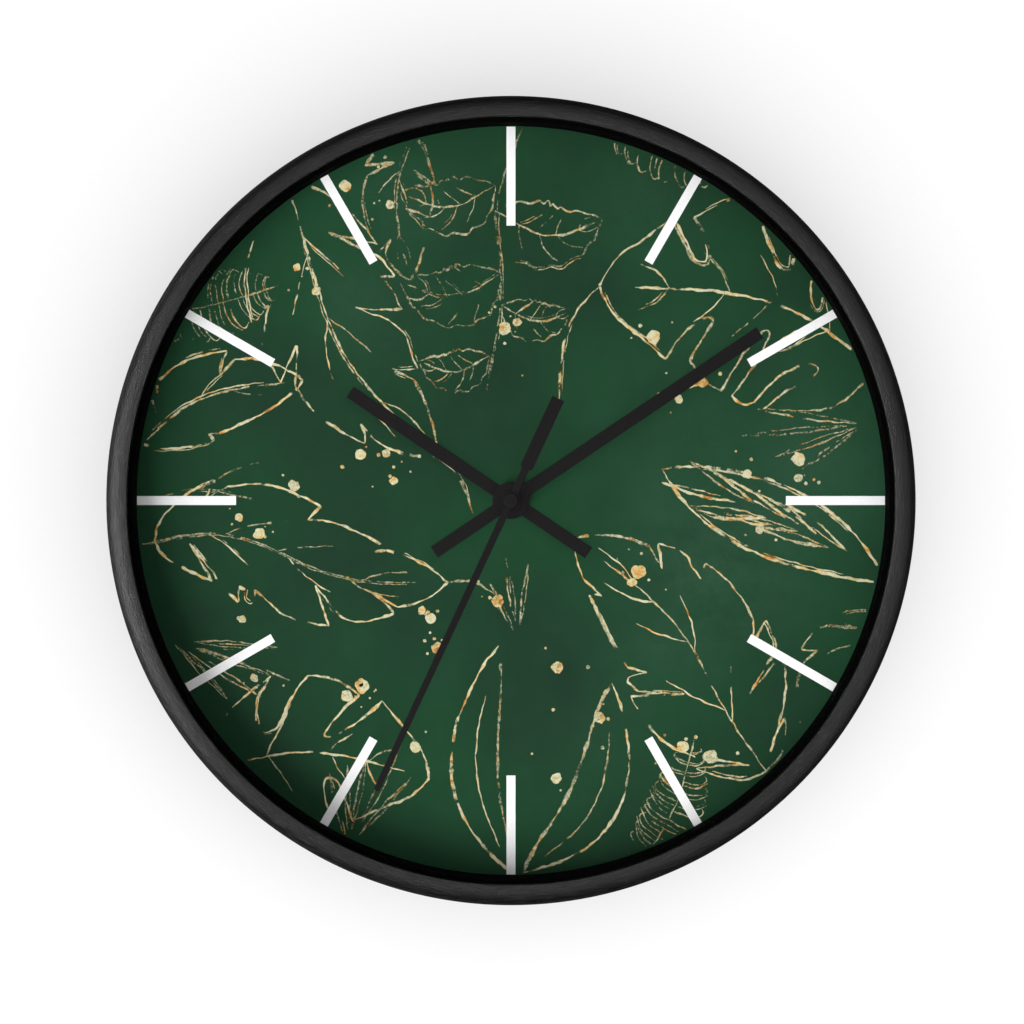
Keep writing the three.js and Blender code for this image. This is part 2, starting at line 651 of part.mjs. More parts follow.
function barHand({ angle, tip, tail, width, hub, plate: layer }, pipeRadius, collarBack) {
  const bar = plate(rectangle(-width / 2, -tail, width / 2, tip), layer);
  const collar = disc(CENTRE, pipeRadius + COLLAR_WALL, [collarBack, layer[1]], BUSH_SIDES);
  const boreLayer = [collarBack - CLEAR, layer[1] + CLEAR];
  const bore = disc(CENTRE, pipeRadius + RUNNING_GAP, boreLayer, BUSH_SIDES);
  return cutBy(joined(atClockAngle(bar, angle), disc(CENTRE, hub, layer, DISC_SIDES), collar), bore);
}

function hourHand() {
  return barHand(HOUR, HOUR_PIPE.outer, BUSHING.front + REST_GAP);
}

function minuteHand() {
  const hand = barHand(MINUTE, MINUTE_PIPE.outer, HOUR_PIPE.front + REST_GAP);
  const seat = MINUTE_PIPE.outer + RUNNING_GAP;
  const bossLayer = [MINUTE.plate[1] - LAP, MINUTE_BOSS.front];
  return joined(hand, ring(seat, MINUTE_BOSS.radius, bossLayer, BUSH_SIDES));
}

function secondHand() {
  const { angle, tip, tail, width, tipWidth, hub, weightStart, weightWidth } = SECOND;
  const front = SECOND.plate[1];
  const neck = width / 2 - weightStart;
  const nose = arcPoints(0, tip - tipWidth / 2, tipWidth / 2, 0, 180, 6);
  const blade = outline([
    [-weightWidth / 2, -tail], [weightWidth / 2, -tail], [weightWidth / 2, -weightStart],
    [width / 2, neck], [width / 2, 0], ...nose,
    [-width / 2, 0], [-width / 2, neck], [-weightWidth / 2, -weightStart],
  ]);
  const tubeBack = MINUTE_PIPE.front + REST_GAP;
  const hand = joined(
    atClockAngle(plate(blade, SECOND.plate), angle),
    disc(CENTRE, hub, SECOND.plate, BUSH_SIDES),
    disc(CENTRE, SECOND.tube, [tubeBack, front], ARBOR_SIDES),
  );
  const boreLayer = [tubeBack - CLEAR, front + CLEAR];
  return cutBy(hand, disc(CENTRE, ARBOR_RADIUS + RUNNING_GAP, boreLayer, ARBOR_SIDES));
}

function secondCap() {
  const { radius, back, front, rounding } = SECOND_CAP;
  return turned([
    [0, back], [radius, back], [radius, front - rounding], [radius - rounding, front], [0, front],
  ], BUSH_SIDES);
}

function handPieces() {
  return [
    piece('hour_hand', hourHand(), MATERIALS.blackHand),
    piece('minute_hand', minuteHand(), MATERIALS.blackHand),
    piece('second_hand', secondHand(), MATERIALS.blackHand),
    piece('second_hand_cap', secondCap(), MATERIALS.blackHand),
  ];
}

// ---------- The clock ----------

const upright = new THREE.Group();
upright.add(...framePieces(), ...clampPieces(), ...casePieces(), ...electricPieces());
upright.add(...trainPieces(), ...handPieces());
upright.rotation.x = Math.PI / 2;
upright.position.y = HOOP_DEPTH / 2;

const clock = new THREE.Group();
clock.add(upright);

export default clock;
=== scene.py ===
"""Round wall clock: the looks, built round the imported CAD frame.

Design values are in millimetres in the clock's own frame: u to the right, v up and w out from
the wall. at() turns them into the row frame's metres.
"""

import math
import random

import bmesh
import bpy
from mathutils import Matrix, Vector, noise


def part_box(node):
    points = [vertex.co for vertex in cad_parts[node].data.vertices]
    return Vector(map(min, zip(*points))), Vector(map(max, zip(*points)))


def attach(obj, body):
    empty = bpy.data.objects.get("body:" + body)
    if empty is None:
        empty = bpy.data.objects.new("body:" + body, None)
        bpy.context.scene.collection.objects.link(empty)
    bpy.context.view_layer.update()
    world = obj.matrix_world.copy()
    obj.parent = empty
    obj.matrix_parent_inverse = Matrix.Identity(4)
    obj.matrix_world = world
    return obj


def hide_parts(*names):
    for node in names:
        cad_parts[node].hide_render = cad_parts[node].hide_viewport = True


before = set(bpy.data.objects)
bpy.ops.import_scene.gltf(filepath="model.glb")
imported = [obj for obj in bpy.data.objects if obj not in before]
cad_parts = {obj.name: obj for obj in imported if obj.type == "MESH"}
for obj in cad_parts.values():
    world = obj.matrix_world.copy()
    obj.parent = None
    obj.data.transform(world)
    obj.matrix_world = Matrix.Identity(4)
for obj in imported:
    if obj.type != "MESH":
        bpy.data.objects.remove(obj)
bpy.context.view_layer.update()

MM = 0.001
WALL_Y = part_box("frame_hoop")[1].y


def at(u, v, w):
    """A point of the clock's own frame, in the row frame's metres."""
    return Vector((u * MM, WALL_Y - w * MM, v * MM))


def layer(node):
    """The (back, front) depths of a CAD node, in millimetres out from the wall."""
    low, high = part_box(node)
    return (WALL_Y - high.y) / MM, (WALL_Y - low.y) / MM


# ---------- Sizes taken from the frame ----------

HOOP_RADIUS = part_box("frame_hoop")[1].x / MM
HOOP_DEPTH = layer("frame_hoop")[1]
DIAL_FRONT = layer("dial")[1]
LENS_BACK, LENS_FRONT = layer("lens")
SPACER_BACK, SPACER_FRONT = layer("spacer_ring")
INSIDE_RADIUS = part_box("lens")[1].x / MM
HOOP_BORE = INSIDE_RADIUS + 0.3
LIP_BORE = HOOP_BORE - 1.4
LIP_BACK = HOOP_DEPTH - 2.5
SPACER_BORE = INSIDE_RADIUS - 2.5

# ---------- Dial print ----------

MARK_COUNT = 12
MARK_INNER = 87.2
MARK_WIDTH = 2.85
PRINT_RADIUS = SPACER_BORE - 0.1
INK_LIFT = 0.01
INK_THICKNESS = 0.02
INK_LEVELS = 16
INK_LEVEL_STEP = 0.002
MARK_LIFT = 0.07
MARK_THICKNESS = 0.03

SEED = 41
DROP_CLUSTERS = 19

# What the lights and the sky together make of a white front face.
FRONT_LIGHT = 1.39
SKY_LIGHT = 0.42


# ---------- Colours and materials ----------


def srgb(red, green, blue):
    """A linear colour from 0 to 255 screen values."""
    linear = []
    for value in (red, green, blue):
        share = value / 255
        linear.append(share / 12.92 if share <= 0.04045 else ((share + 0.055) / 1.055) ** 2.4)
    return (*linear, 1.0)


def seen(red, green, blue):
    """The colour of a front face that the scene's lights show as these screen values."""
    return (*(channel / FRONT_LIGHT for channel in srgb(red, green, blue)[:3]), 1.0)


def grey(level):
    return (level, level, level, 1.0)


class Nodes:
    """Short calls that make and join the nodes of a tree."""

    def __init__(self, tree):
        self.tree = tree

    def node(self, kind, inputs=None, **settings):
        made = self.tree.nodes.new(kind)
        for key, value in settings.items():
            setattr(made, key, value)
        for key, value in (inputs or {}).items():
            if isinstance(value, bpy.types.NodeSocket):
                self.tree.links.new(value, made.inputs[key])
            else:
                made.inputs[key].default_value = value
        return made

    def span(self, value, start, end, low, high, curve="LINEAR"):
        """Maps start..end of a value to low..high."""
        inputs = {"Value": value, "From Min": start, "From Max": end, "To Min": low, "To Max": high}
        return self.node("ShaderNodeMapRange", inputs, interpolation_type=curve).outputs["Result"]


class Surface(Nodes):
    """A Principled material with short calls for the nodes that feed it."""

    def __init__(self, name, roughness=0.5, metallic=0.0, specular=0.5, colour=(0.5, 0.5, 0.5, 1.0)):
        self.material = bpy.data.materials.new(name)
        self.material.use_nodes = True
        super().__init__(self.material.node_tree)
        self.shader = self.tree.nodes["Principled BSDF"]
        self.set("Base Color", colour)
        self.set("Roughness", roughness)
        self.set("Metallic", metallic)
        self.set("Specular IOR Level", specular)
        self.coordinates = self.node("ShaderNodeTexCoord").outputs["Object"]

    def set(self, socket, value):
        self.shader.inputs[socket].default_value = value

    def feed(self, output, socket):
        self.tree.links.new(output, self.shader.inputs[socket])

    def noise(self, scale, detail=4.0, roughness=0.55, vector=None, w=None):
        inputs = {"Vector": vector or self.coordinates, "Scale": scale}
        inputs.update({"Detail": detail, "Roughness": roughness})
        if w is not None:
            inputs["W"] = w
        dimensions = "3D" if w is None else "4D"
        return self.node("ShaderNodeTexNoise", inputs, noise_dimensions=dimensions).outputs["Fac"]

    def ramp(self, value, stops):
        """Colours along a value; stops are (place, colour)."""
        made = self.node("ShaderNodeValToRGB", {"Fac": value})
        elements = made.color_ramp.elements
        while len(elements) < len(stops):
            elements.new(0.5)
        for element, (place, colour) in zip(elements, stops):
            element.position = place
            element.color = colour
        return made.outputs["Color"]

    def between(self, value, low, high):
        """Maps a noise value's middle range to low..high."""
        return self.span(value, 0.3, 0.7, low, high)

    def mix(self, share, first, second):
        return self.node("ShaderNodeMix", {0: share, 6: first, 7: second}, data_type="RGBA").outputs[2]

    def maths(self, operation, first, second):
        return self.node("ShaderNodeMath", {0: first, 1: second}, operation=operation).outputs[0]

    def bump(self, height, strength, distance):
        inputs = {"Height": height, "Strength": strength, "Distance": distance}
        self.feed(self.node("ShaderNodeBump", inputs).outputs["Normal"], "Normal")


def hoop_paint():
    """Satin black paint over turned wood: fine streaks that run round the hoop."""
    surface = Surface("hoop_paint", specular=0.36)
    split = surface.node("ShaderNodeSeparateXYZ", {0: surface.coordinates}).outputs
    flat = surface.node("ShaderNodeCombineXYZ", {"X": split["X"], "Z": split["Z"]}).outputs[0]
    length = surface.node("ShaderNodeVectorMath", {0: flat}, operation="LENGTH").outputs["Value"]
    heading = surface.node("ShaderNodeVectorMath", {0: flat}, operation="NORMALIZE").outputs[0]
    streaks_round, streaks_across = 26.0, 2100.0
    scaled = {0: heading, "Scale": streaks_round}
    turned = surface.node("ShaderNodeVectorMath", scaled, operation="SCALE").outputs[0]
    fine = surface.maths("MULTIPLY", length, streaks_across)
    across = surface.node("ShaderNodeCombineXYZ", {"Y": fine}).outputs[0]
    along = surface.node("ShaderNodeVectorMath", {0: turned, 1: across}, operation="ADD").outputs[0]
    depth = surface.maths("MULTIPLY", split["Y"], streaks_across)
    grain = surface.noise(1.0, detail=5.0, roughness=0.7, vector=along, w=depth)
    pores = surface.noise(3000.0, detail=2.0)
    stops = [(0.36, srgb(2, 2, 2)), (0.5, srgb(7, 7, 7)), (0.64, srgb(30, 30, 30))]
    surface.feed(surface.ramp(grain, stops), "Base Color")
    # Dull where the band turns over at its outer edge, and satin again down the side.
    turn_over = surface.span(length, (HOOP_RADIUS - 2.0) * MM, (HOOP_RADIUS - 0.5) * MM, 0.0, 0.95)
    edge_y, side_y = at(0, 0, HOOP_DEPTH - 4.5).y, at(0, 0, HOOP_DEPTH - 11.5).y
    front = surface.span(split["Y"], edge_y, side_y, 1.0, 0.0)
    dull = surface.maths("MULTIPLY", turn_over, front)
    surface.feed(surface.maths("MAXIMUM", dull, surface.between(grain, 0.46, 0.3)), "Roughness")
    surface.bump(surface.maths("ADD", grain, surface.maths("MULTIPLY", pores, 0.5)), 0.8, 0.0003)
    return surface.material


def matt(name, dark, light, roughness, specular, detail, strength, depth):
    """An even matt stuff: two very close tones and a faint tooth."""
    surface = Surface(name, roughness=roughness, specular=specular)
    tooth = surface.noise(1500.0, detail=detail)
    surface.feed(surface.ramp(tooth, [(0.3, dark), (0.7, light)]), "Base Color")
    surface.bump(tooth, strength, depth)
    return surface.material


def clear_acrylic():
    """A clear sheet: nearly all see-through, with a faint gloss."""
    surface = Surface("clear_acrylic", specular=0.3, colour=(0.0, 0.0, 0.0, 1.0))
    surface.set("Alpha", 0.02)
    surface.feed(surface.between(surface.noise(900.0, detail=2.0), 0.03, 0.08), "Roughness")
    return surface.material


# Places on the dial as (u, v, radius, strength).
PALE_CLOUDS = [
    (64, -24, 44, 0.95), (112, 10, 60, 0.4), (-44, 60, 28, 0.55), (60, 24, 60, 0.3), (-28, 95, 26, 0.4),
    (30, -62, 50, 0.3), (44, 96, 34, 0.35),
]
DARK_POOLS = [
    (-52, -28, 48, 0.9), (-16, 36, 44, 0.75), (14, 70, 26, 0.95), (-80, 40, 30, 0.6), (30, 66, 18, 0.9),
    (8, -50, 40, 0.6), (-66, 22, 30, 0.7), (-15, -40, 30, 0.5),
]


def printed_wash():
    """A dark green watercolour wash with paler clouds and deeper pools."""
    surface = Surface("printed_wash", roughness=0.75, specular=0.05)

    def near(u, v, radius):
        centre = at(u, v, DIAL_FRONT)
        inputs = {0: surface.coordinates, 1: centre}
        reach = surface.node("ShaderNodeVectorMath", inputs, operation="DISTANCE").outputs["Value"]
        return surface.span(reach, 0.0, radius * MM, 1.0, 0.0, "SMOOTHSTEP")

    pools = surface.noise(16.0, detail=6.0, roughness=0.62)
    colour = surface.ramp(pools, [
        (0.28, seen(36, 66, 49)), (0.42, seen(35, 75, 50)), (0.56, seen(36, 82, 53)),
        (0.72, seen(42, 88, 61)),
    ])
    drift = surface.noise(36.0, detail=7.0, roughness=0.72)
    for u, v, radius, strength in PALE_CLOUDS:
        cloud = surface.maths("MULTIPLY", near(u, v, radius), surface.between(drift, 0.0, strength))
        colour = surface.mix(cloud, colour, seen(66, 104, 82))
    for u, v, radius, strength in DARK_POOLS:
        pool = surface.maths("MULTIPLY", near(u, v, radius), surface.between(drift, strength, 0.1))
        colour = surface.mix(pool, colour, seen(35, 57, 47))
    tooth = surface.noise(1300.0, detail=4.0)
    colour = surface.mix(surface.between(tooth, 0.0, 0.16), colour, seen(18, 44, 28))
    surface.feed(colour, "Base Color")
    surface.bump(tooth, 0.12, 0.00006)
    return surface.material


def gold_print():
    """Gold ink on the wash. The mesh's own ink value says how much of it lies at each point."""
    surface = Surface("gold_print", roughness=0.6, specular=0.15)
    ink = surface.node("ShaderNodeAttribute", attribute_name="ink").outputs["Fac"]
    tone = surface.noise(150.0, detail=4.0, roughness=0.75)
    gold = surface.ramp(tone, [
        (0.34, seen(206, 136, 60)), (0.41, seen(252, 200, 114)), (0.48, seen(255, 240, 180)),
        (0.54, seen(255, 252, 216)), (0.6, seen(218, 216, 156)), (0.68, seen(255, 208, 116)),
    ])
    flecks = surface.noise(750.0, detail=4.0, roughness=0.65)
    gold = surface.mix(surface.between(flecks, 0.0, 0.2), gold, seen(132, 110, 62))
    grit = surface.noise(1500.0, detail=3.0, roughness=0.6)
    laid = surface.maths("ADD", ink, surface.between(grit, -0.34, 0.34))
    cover = surface.span(laid, 0.1, 0.72, 0.0, 1.0)
    surface.feed(surface.mix(cover, seen(34, 72, 48), gold), "Base Color")
    surface.bump(grit, 0.25, 0.00004)
    return surface.material


def hand_paint():
    """Matt black lacquer with a fine powder texture."""
    surface = Surface("hand_paint", specular=0.08)
    powder = surface.noise(3200.0, detail=3.0)
    stops = [(0.3, seen(27, 25, 26)), (0.7, seen(33, 31, 32))]
    surface.feed(surface.ramp(powder, stops), "Base Color")
    surface.feed(surface.between(powder, 0.66, 0.82), "Roughness")
    surface.bump(powder, 0.2, 0.00004)
    return surface.material


def speckled(name, dark, light, roughness, metallic=0.0, scale=1500.0, specular=0.5, depth=0.0001):
    """Moulded, cast or sawn stuff: two close tones and a fine relief."""
    surface = Surface(name, metallic=metallic, specular=specular)
    fine = surface.noise(scale, detail=4.0, roughness=0.6)
    broad = surface.noise(scale / 24, detail=3.0)
    blend = surface.maths("ADD", surface.maths("MULTIPLY", fine, 0.6),
                          surface.maths("MULTIPLY", broad, 0.4))
    surface.feed(surface.ramp(blend, [(0.35, dark), (0.65, light)]), "Base Color")
    surface.feed(surface.between(broad, roughness * 0.85, min(1.0, roughness * 1.15)), "Roughness")
    surface.bump(fine, 0.35, depth)
    return surface.material


def brushed(name, dark, light, roughness):
    """Rolled metal: streaks along the row's Z."""
    surface = Surface(name, metallic=1.0)
    inputs = {"Vector": surface.coordinates, "Scale": (9.0, 9.0, 0.5)}
    stretched = surface.node("ShaderNodeMapping", inputs)
    streaks = surface.noise(420.0, detail=4.0, vector=stretched.outputs[0])
    surface.feed(surface.ramp(streaks, [(0.3, dark), (0.7, light)]), "Base Color")
    surface.feed(surface.between(streaks, roughness * 0.8, roughness * 1.3), "Roughness")
    surface.bump(streaks, 0.15, 0.00005)
    return surface.material


HOOP_PAINT = hoop_paint()
# Black plastic and painted shade: the spacer's tones are set near zero, far below real black plastic, so
# the recess behind the lip reads as deep shade.
SPACER_BLACK_AND_SHADE = matt("spacer_black_painted_shade", grey(0.0003), grey(0.0012), 0.9, 0.02, 3.0, 0.2, 0.0001)
CLEAR_ACRYLIC = clear_acrylic()
PRINTED_WASH = printed_wash()
GOLD_PRINT = gold_print()
WHITE_PRINT = matt("white_print", srgb(250, 250, 250), srgb(255, 255, 255), 0.7, 0.1, 2.0, 0.08, 0.00005)
HAND_PAINT = hand_paint()
HARDBOARD = speckled("hardboard", srgb(104, 72, 47), srgb(138, 101, 70), 0.85, scale=900.0, specular=0.2)
ZINC_STEEL = brushed("zinc_steel", srgb(140, 142, 145), srgb(196, 198, 200), 0.33)
RUBBER = speckled("gasket_rubber", srgb(22, 22, 22), srgb(34, 34, 34), 0.9, specular=0.2)
BRASS = brushed("brass", srgb(176, 134, 66), srgb(214, 176, 98), 0.3)
MOULDED_BLACK = speckled("moulded_black", srgb(22, 22, 23), srgb(34, 34, 35), 0.5, scale=2600.0)
ACETAL = speckled("natural_acetal", srgb(214, 210, 198), srgb(230, 227, 218), 0.45, scale=1200.0)
COPPER = brushed("copper_wire", srgb(150, 82, 44), srgb(196, 116, 66), 0.35)
LAMINATE = speckled("circuit_laminate", srgb(24, 84, 44), srgb(32, 104, 56), 0.4, scale=700.0)
RESIN = speckled("chip_resin", srgb(14, 14, 14), srgb(24, 24, 24), 0.35, scale=900.0)
FERRITE = speckled("magnet_ferrite", srgb(58, 58, 62), srgb(78, 78, 82), 0.6, metallic=0.4, scale=1800.0)
CELL_SLEEVE = speckled("cell_sleeve", srgb(52, 60, 72), srgb(62, 70, 82), 0.3, scale=400.0, depth=0.00003)


# ---------- Mesh makers ----------


def placed_in_scene(name, data):
    made = bpy.data.objects.new(name, data)
    bpy.context.scene.collection.objects.link(made)
    return made


def make_piece(name, shape, material, body, slot, nodes=(), smooth=30.0):
    """A mesh piece from (vertices, faces), which rides on a body. Edges over smooth degrees stay sharp."""
    vertices, faces = shape
    mesh = bpy.data.meshes.new(name)
    mesh.from_pydata([tuple(point) for point in vertices], [], faces)
    mesh.validate()
    shell = bmesh.new()
    shell.from_mesh(mesh)
    bmesh.ops.recalc_face_normals(shell, faces=shell.faces)
    shell.to_mesh(mesh)
    shell.free()
    mesh.shade_smooth()
    mesh.set_sharp_from_angle(angle=math.radians(smooth))
    mesh.materials.append(material)
    piece = placed_in_scene(name, mesh)
    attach(piece, body)
    if nodes:
        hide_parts(*nodes)
    return piece


def arc(radius_centre, depth_centre, radius, start, end, steps):
    """Profile points on an arc. Angles run from outwards (0) to the front (90)."""
    points = []
    for i in range(steps + 1):
        angle = math.radians(start + (end - start) * i / steps)
        place = (radius_centre + radius * math.cos(angle), depth_centre + radius * math.sin(angle))
        points.append(place)
    return points


def about_hands(radius, angle, depth):
    return at(radius * math.sin(angle), radius * math.cos(angle), depth)


def band(low, high, count, closed=True):
    """Faces between two rings, or two rows, of count vertices that start at low and high."""
    steps = count if closed else count - 1
    return [(low + i, low + (i + 1) % count, high + (i + 1) % count, high + i) for i in range(steps)]


def turned_mesh(profile, steps, closed=True, place=about_hands):
    """Vertices and faces of a profile of (radius, distance along the axis) points, turned about an axis."""
    vertices, faces = [], []
    count = len(profile)
    for i in range(steps):
        angle = 2 * math.pi * i / steps
        vertices += [place(radius, angle, along) for radius, along in profile]
    for i in range(steps):
        faces += band(i * count, (i + 1) % steps * count, count, closed)
    if not closed:
        faces.append([i * count for i in range(steps)])
        faces.append([i * count + count - 1 for i in reversed(range(steps))])
    return vertices, faces


def shrink(outline, inset):
    """The outline moved inwards by inset, corner by corner."""
    points = [Vector(point) for point in outline]
    count = len(points)
    area = sum(points[i - 1].x * points[i].y - points[i].x * points[i - 1].y for i in range(count))
    side = 1.0 if area > 0 else -1.0
    result = []
    for i in range(count):
        before = (points[i] - points[i - 1]).normalized()
        after = (points[(i + 1) % count] - points[i]).normalized()
        first, second = turned_left(before) * side, turned_left(after) * side
        push = (first + second) / max(0.4, 1.0 + first.dot(second))
        result.append(points[i] + push * inset)
    return result


def prism_mesh(outline, back, front, chamfer):
    """Vertices and faces of an outline of (u, v) points between two depths, with a chamfered front."""
    inner = shrink(outline, chamfer)
    rings = [(outline, back), (outline, front - chamfer), (inner, front)]
    vertices = [at(u, v, depth) for ring, depth in rings for u, v in ring]
    count = len(outline)
    ends = [tuple(reversed(range(count))), tuple(range(2 * count, 3 * count))]
    return vertices, [*ends, *band(0, count, count), *band(count, 2 * count, count)]


def add_part(vertices, faces, part, sides):
    """Adds a part's vertices and faces to a mesh that is being collected."""
    faces += [[index + len(vertices) for index in face] for face in sides]
    vertices += part


def turned_left(vector):
    return Vector((-vector.y, vector.x))


def at_clock_angle(outline, degrees):
    """Turns an outline that points at twelve clockwise to a clock angle."""
    angle = -math.radians(degrees)
    cosine, sine = math.cos(angle), math.sin(angle)
    return [(u * cosine - v * sine, u * sine + v * cosine) for u, v in outline]


# ---------- Hoop, spacer and lens ----------


def hoop_profile():
    """The hoop's section: a crowned front band, a small inner edge and a rounded outer edge."""
    inner_round, outer_round, back_round = 0.25, 4.8, 1.0
    inner_slope, outer_slope = math.tan(math.radians(10)), math.tan(math.radians(5))
    inner = arc(LIP_BORE + inner_round, HOOP_DEPTH - 0.18 - inner_round, inner_round, 180, 100, 5)
    start = Vector(inner[-1])
    end_radius = HOOP_RADIUS - outer_round * (1 - math.cos(math.radians(85)))
    half = (end_radius - start.x) / 2
    ridge = start + Vector((half, half * inner_slope))
    end = ridge + Vector((half, -half * outer_slope))
    crown = []
    for i in range(1, 10):
        share = i / 10
        crown.append(tuple(start.lerp(ridge, share).lerp(ridge.lerp(end, share), share)))
    depth_centre = end.y - outer_round * math.sin(math.radians(85))
    return [
        (HOOP_BORE, 0.0), (HOOP_BORE, LIP_BACK), (LIP_BORE, LIP_BACK),
        *inner, *crown,
        *arc(HOOP_RADIUS - outer_round, depth_centre, outer_round, 85, 0, 12),
        *arc(HOOP_RADIUS - back_round, back_round, back_round, 0, -90, 5),
    ]


def build_front():
    hoop = turned_mesh(hoop_profile(), 288)
    make_piece("painted_hoop", hoop, HOOP_PAINT, "case", "hoop_paint", ["frame_hoop"], 35)
    ring = [
        (INSIDE_RADIUS, SPACER_BACK), (INSIDE_RADIUS, SPACER_FRONT), (SPACER_BORE + 0.3, SPACER_FRONT),
        (SPACER_BORE, SPACER_FRONT - 0.3), (SPACER_BORE, SPACER_BACK),
    ]
    make_piece("spacer", turned_mesh(ring, 240), SPACER_BLACK_AND_SHADE, "case", "black_spacer", ["spacer_ring"])
    sheet = [
        (INSIDE_RADIUS - 0.15, LENS_BACK), (INSIDE_RADIUS, LENS_BACK + 0.15),
        (INSIDE_RADIUS, LENS_FRONT - 0.15), (INSIDE_RADIUS - 0.15, LENS_FRONT),
    ]
    sheet = turned_mesh(sheet, 240, closed=False)
    lens = make_piece("clear_front", sheet, CLEAR_ACRYLIC, "case", "clear_front", ["lens"])
    lens.visible_shadow = False


# ---------- Dial marks ----------


def build_marks():
    vertices, faces = [], []
    half = MARK_WIDTH / 2
    back = DIAL_FRONT + MARK_LIFT
    outer = math.sqrt(PRINT_RADIUS**2 - half**2)
    for i in range(MARK_COUNT):
        bar = [(-half, MARK_INNER), (half, MARK_INNER), (half, outer), (-half, outer)]
        turned_bar = at_clock_angle(bar, 360 * i / MARK_COUNT)
        add_part(vertices, faces, *prism_mesh(turned_bar, back, back + MARK_THICKNESS, 0.01))
    make_piece("printed_bars", (vertices, faces), WHITE_PRINT, "case", "printed_dial")


# ---------- The pen that draws the foliage ----------


def smoothed(points, rounds=2):
    """Corner cutting that keeps both ends."""
    path = [Vector(point) for point in points]
    for _ in range(rounds):
        cut = [path[0]]
        for first, second in zip(path, path[1:]):
            cut += [first.lerp(second, 0.25), first.lerp(second, 0.75)]
        path = [*cut, path[-1]]
    return path


def resampled(points, step):
    """The path with its points step apart."""
    lengths = [0.0]
    for first, second in zip(points, points[1:]):
        lengths.append(lengths[-1] + (second - first).length)
    total = lengths[-1]
    count = max(2, int(total / step))
    result, index = [], 0
    for i in range(count + 1):
        target = total * i / count
        while index < len(lengths) - 2 and lengths[index + 1] < target:
            index += 1
        span = max(1e-9, lengths[index + 1] - lengths[index])
        share = min(1.0, (target - lengths[index]) / span)
        result.append(points[index].lerp(points[index + 1], share))
    return result


def normals_of(path):
    result = []
    for i in range(len(path)):
        ahead = path[min(i + 1, len(path) - 1)] - path[max(i - 1, 0)]
        result.append(turned_left(ahead.normalized()))
    return result


class Pen:
    """Draws strokes with a hand's wobble, swelling, dry patches and second passes."""

    STEP = 0.5
    THINNEST = 0.28
    FINENESS = 0.88
    SECOND_PASS = 0.5

    def __init__(self, seed):
        self.random = random.Random(seed)
        self.ribbons = []
        self.ink = 0.9

    def wave(self, distance, phase, period):
        return noise.noise(Vector((distance / period, phase, 3.7)))

    def stroke(self, points, weight=0.7, rounds=2, taper=4.0, repeat=0.45, blunt=0.35):
        """A stroke along points; repeat says how likely a second, finer line beside it is."""
        path = resampled(smoothed(points, rounds), self.STEP)
        self.lay(path, weight, taper, blunt)
        if self.random.random() < repeat * self.SECOND_PASS and len(path) > 12:
            first = self.random.randint(0, len(path) // 3)
            last = self.random.randint(len(path) * 2 // 3, len(path) - 1)
            shift = self.random.uniform(0.55, 1.0) * self.random.choice((-1, 1))
            drift = self.random.uniform(-0.5, 0.5)
            beside = []
            for i, (point, normal) in enumerate(zip(path, normals_of(path))):
                beside.append(point + normal * (shift + drift * (i / len(path) - 0.5)))
            self.lay(beside[first:last], weight * self.random.uniform(0.5, 0.75), taper, 0.1)

    def corners(self, line, weight=0.7, repeat=0.5):
        """Strokes from corner to corner: a corner is a point that is given twice."""
        run = [line[0]]
        for before, point in zip(line, line[1:]):
            if (point - before).length < 1e-6:
                self.stroke(run, weight * self.random.uniform(0.75, 1.2), 2, 1.6, repeat, 0.7)
                run = [point]
            else:
                run.append(point)
        if len(run) > 1:
            self.stroke(run, weight, 2, 1.6, repeat, 0.7)

    def lay(self, path, weight, taper, blunt):
        phase = self.random.uniform(0, 500)
        load = self.ink * self.random.uniform(0.4, 1.08)
        total = (len(path) - 1) * self.STEP
        run = []
        for i, (point, normal) in enumerate(zip(path, normals_of(path))):
            distance = i * self.STEP
            end = min(1.0, min(distance, total - distance) / taper + blunt)
            swell = 1.0 + 0.9 * self.wave(distance, phase, 6.0)
            swell += 0.7 * self.wave(distance, phase + 9, 1.6)
            dry = self.wave(distance, phase + 21, 7.0) + 0.5 * self.wave(distance, phase + 45, 2.2)
            ink = load * min(1.0, 1.05 + 1.9 * min(0.0, dry + 0.08)) * (0.55 + 0.45 * end)
            placed = point + normal * end * (0.34 * self.wave(distance, phase + 33, 2.6))
            if ink < 0.12 or placed.length > PRINT_RADIUS - 0.4:
                self.end_run(run)
                run = []
            else:
                run.append((placed, normal, max(self.THINNEST, weight * end * swell * self.FINENESS), ink))
        self.end_run(run)

    def end_run(self, run):
        if len(run) > 2:
            self.ribbons.append(run)


SECTION = ((-0.5, 0), (-0.3, 1), (0.3, 1), (0.5, 0))


def ribbon_mesh(ribbons):
    """One low bar along each ribbon. Returns vertices, faces and the ink on each vertex."""
    vertices, faces, inks = [], [], []
    for number, run in enumerate(ribbons):
        start = len(vertices)
        back = DIAL_FRONT + INK_LIFT + number % INK_LEVELS * INK_LEVEL_STEP
        for point, normal, width, ink in run:
            for side, top in SECTION:
                place = point + normal * side * width
                vertices.append(at(place.x, place.y, back + INK_THICKNESS * top))
                inks.append(ink * (0.25 + 0.75 * top))
        last = start + 4 * (len(run) - 1)
        for here in range(start, last, 4):
            faces += band(here, here + 4, 4)
        faces.append((start, start + 3, start + 2, start + 1))
        faces.append((last, last + 1, last + 2, last + 3))
    return vertices, faces, inks


def print_gold(name, vertices, faces, inks):
    """A piece of gold print that carries the ink on each vertex."""
    piece = make_piece(name, (vertices, faces), GOLD_PRINT, "case", "printed_dial", smooth=60)
    piece.data.attributes.new("ink", "FLOAT", "POINT").data.foreach_set("value", inks)


# ---------- Leaves ----------


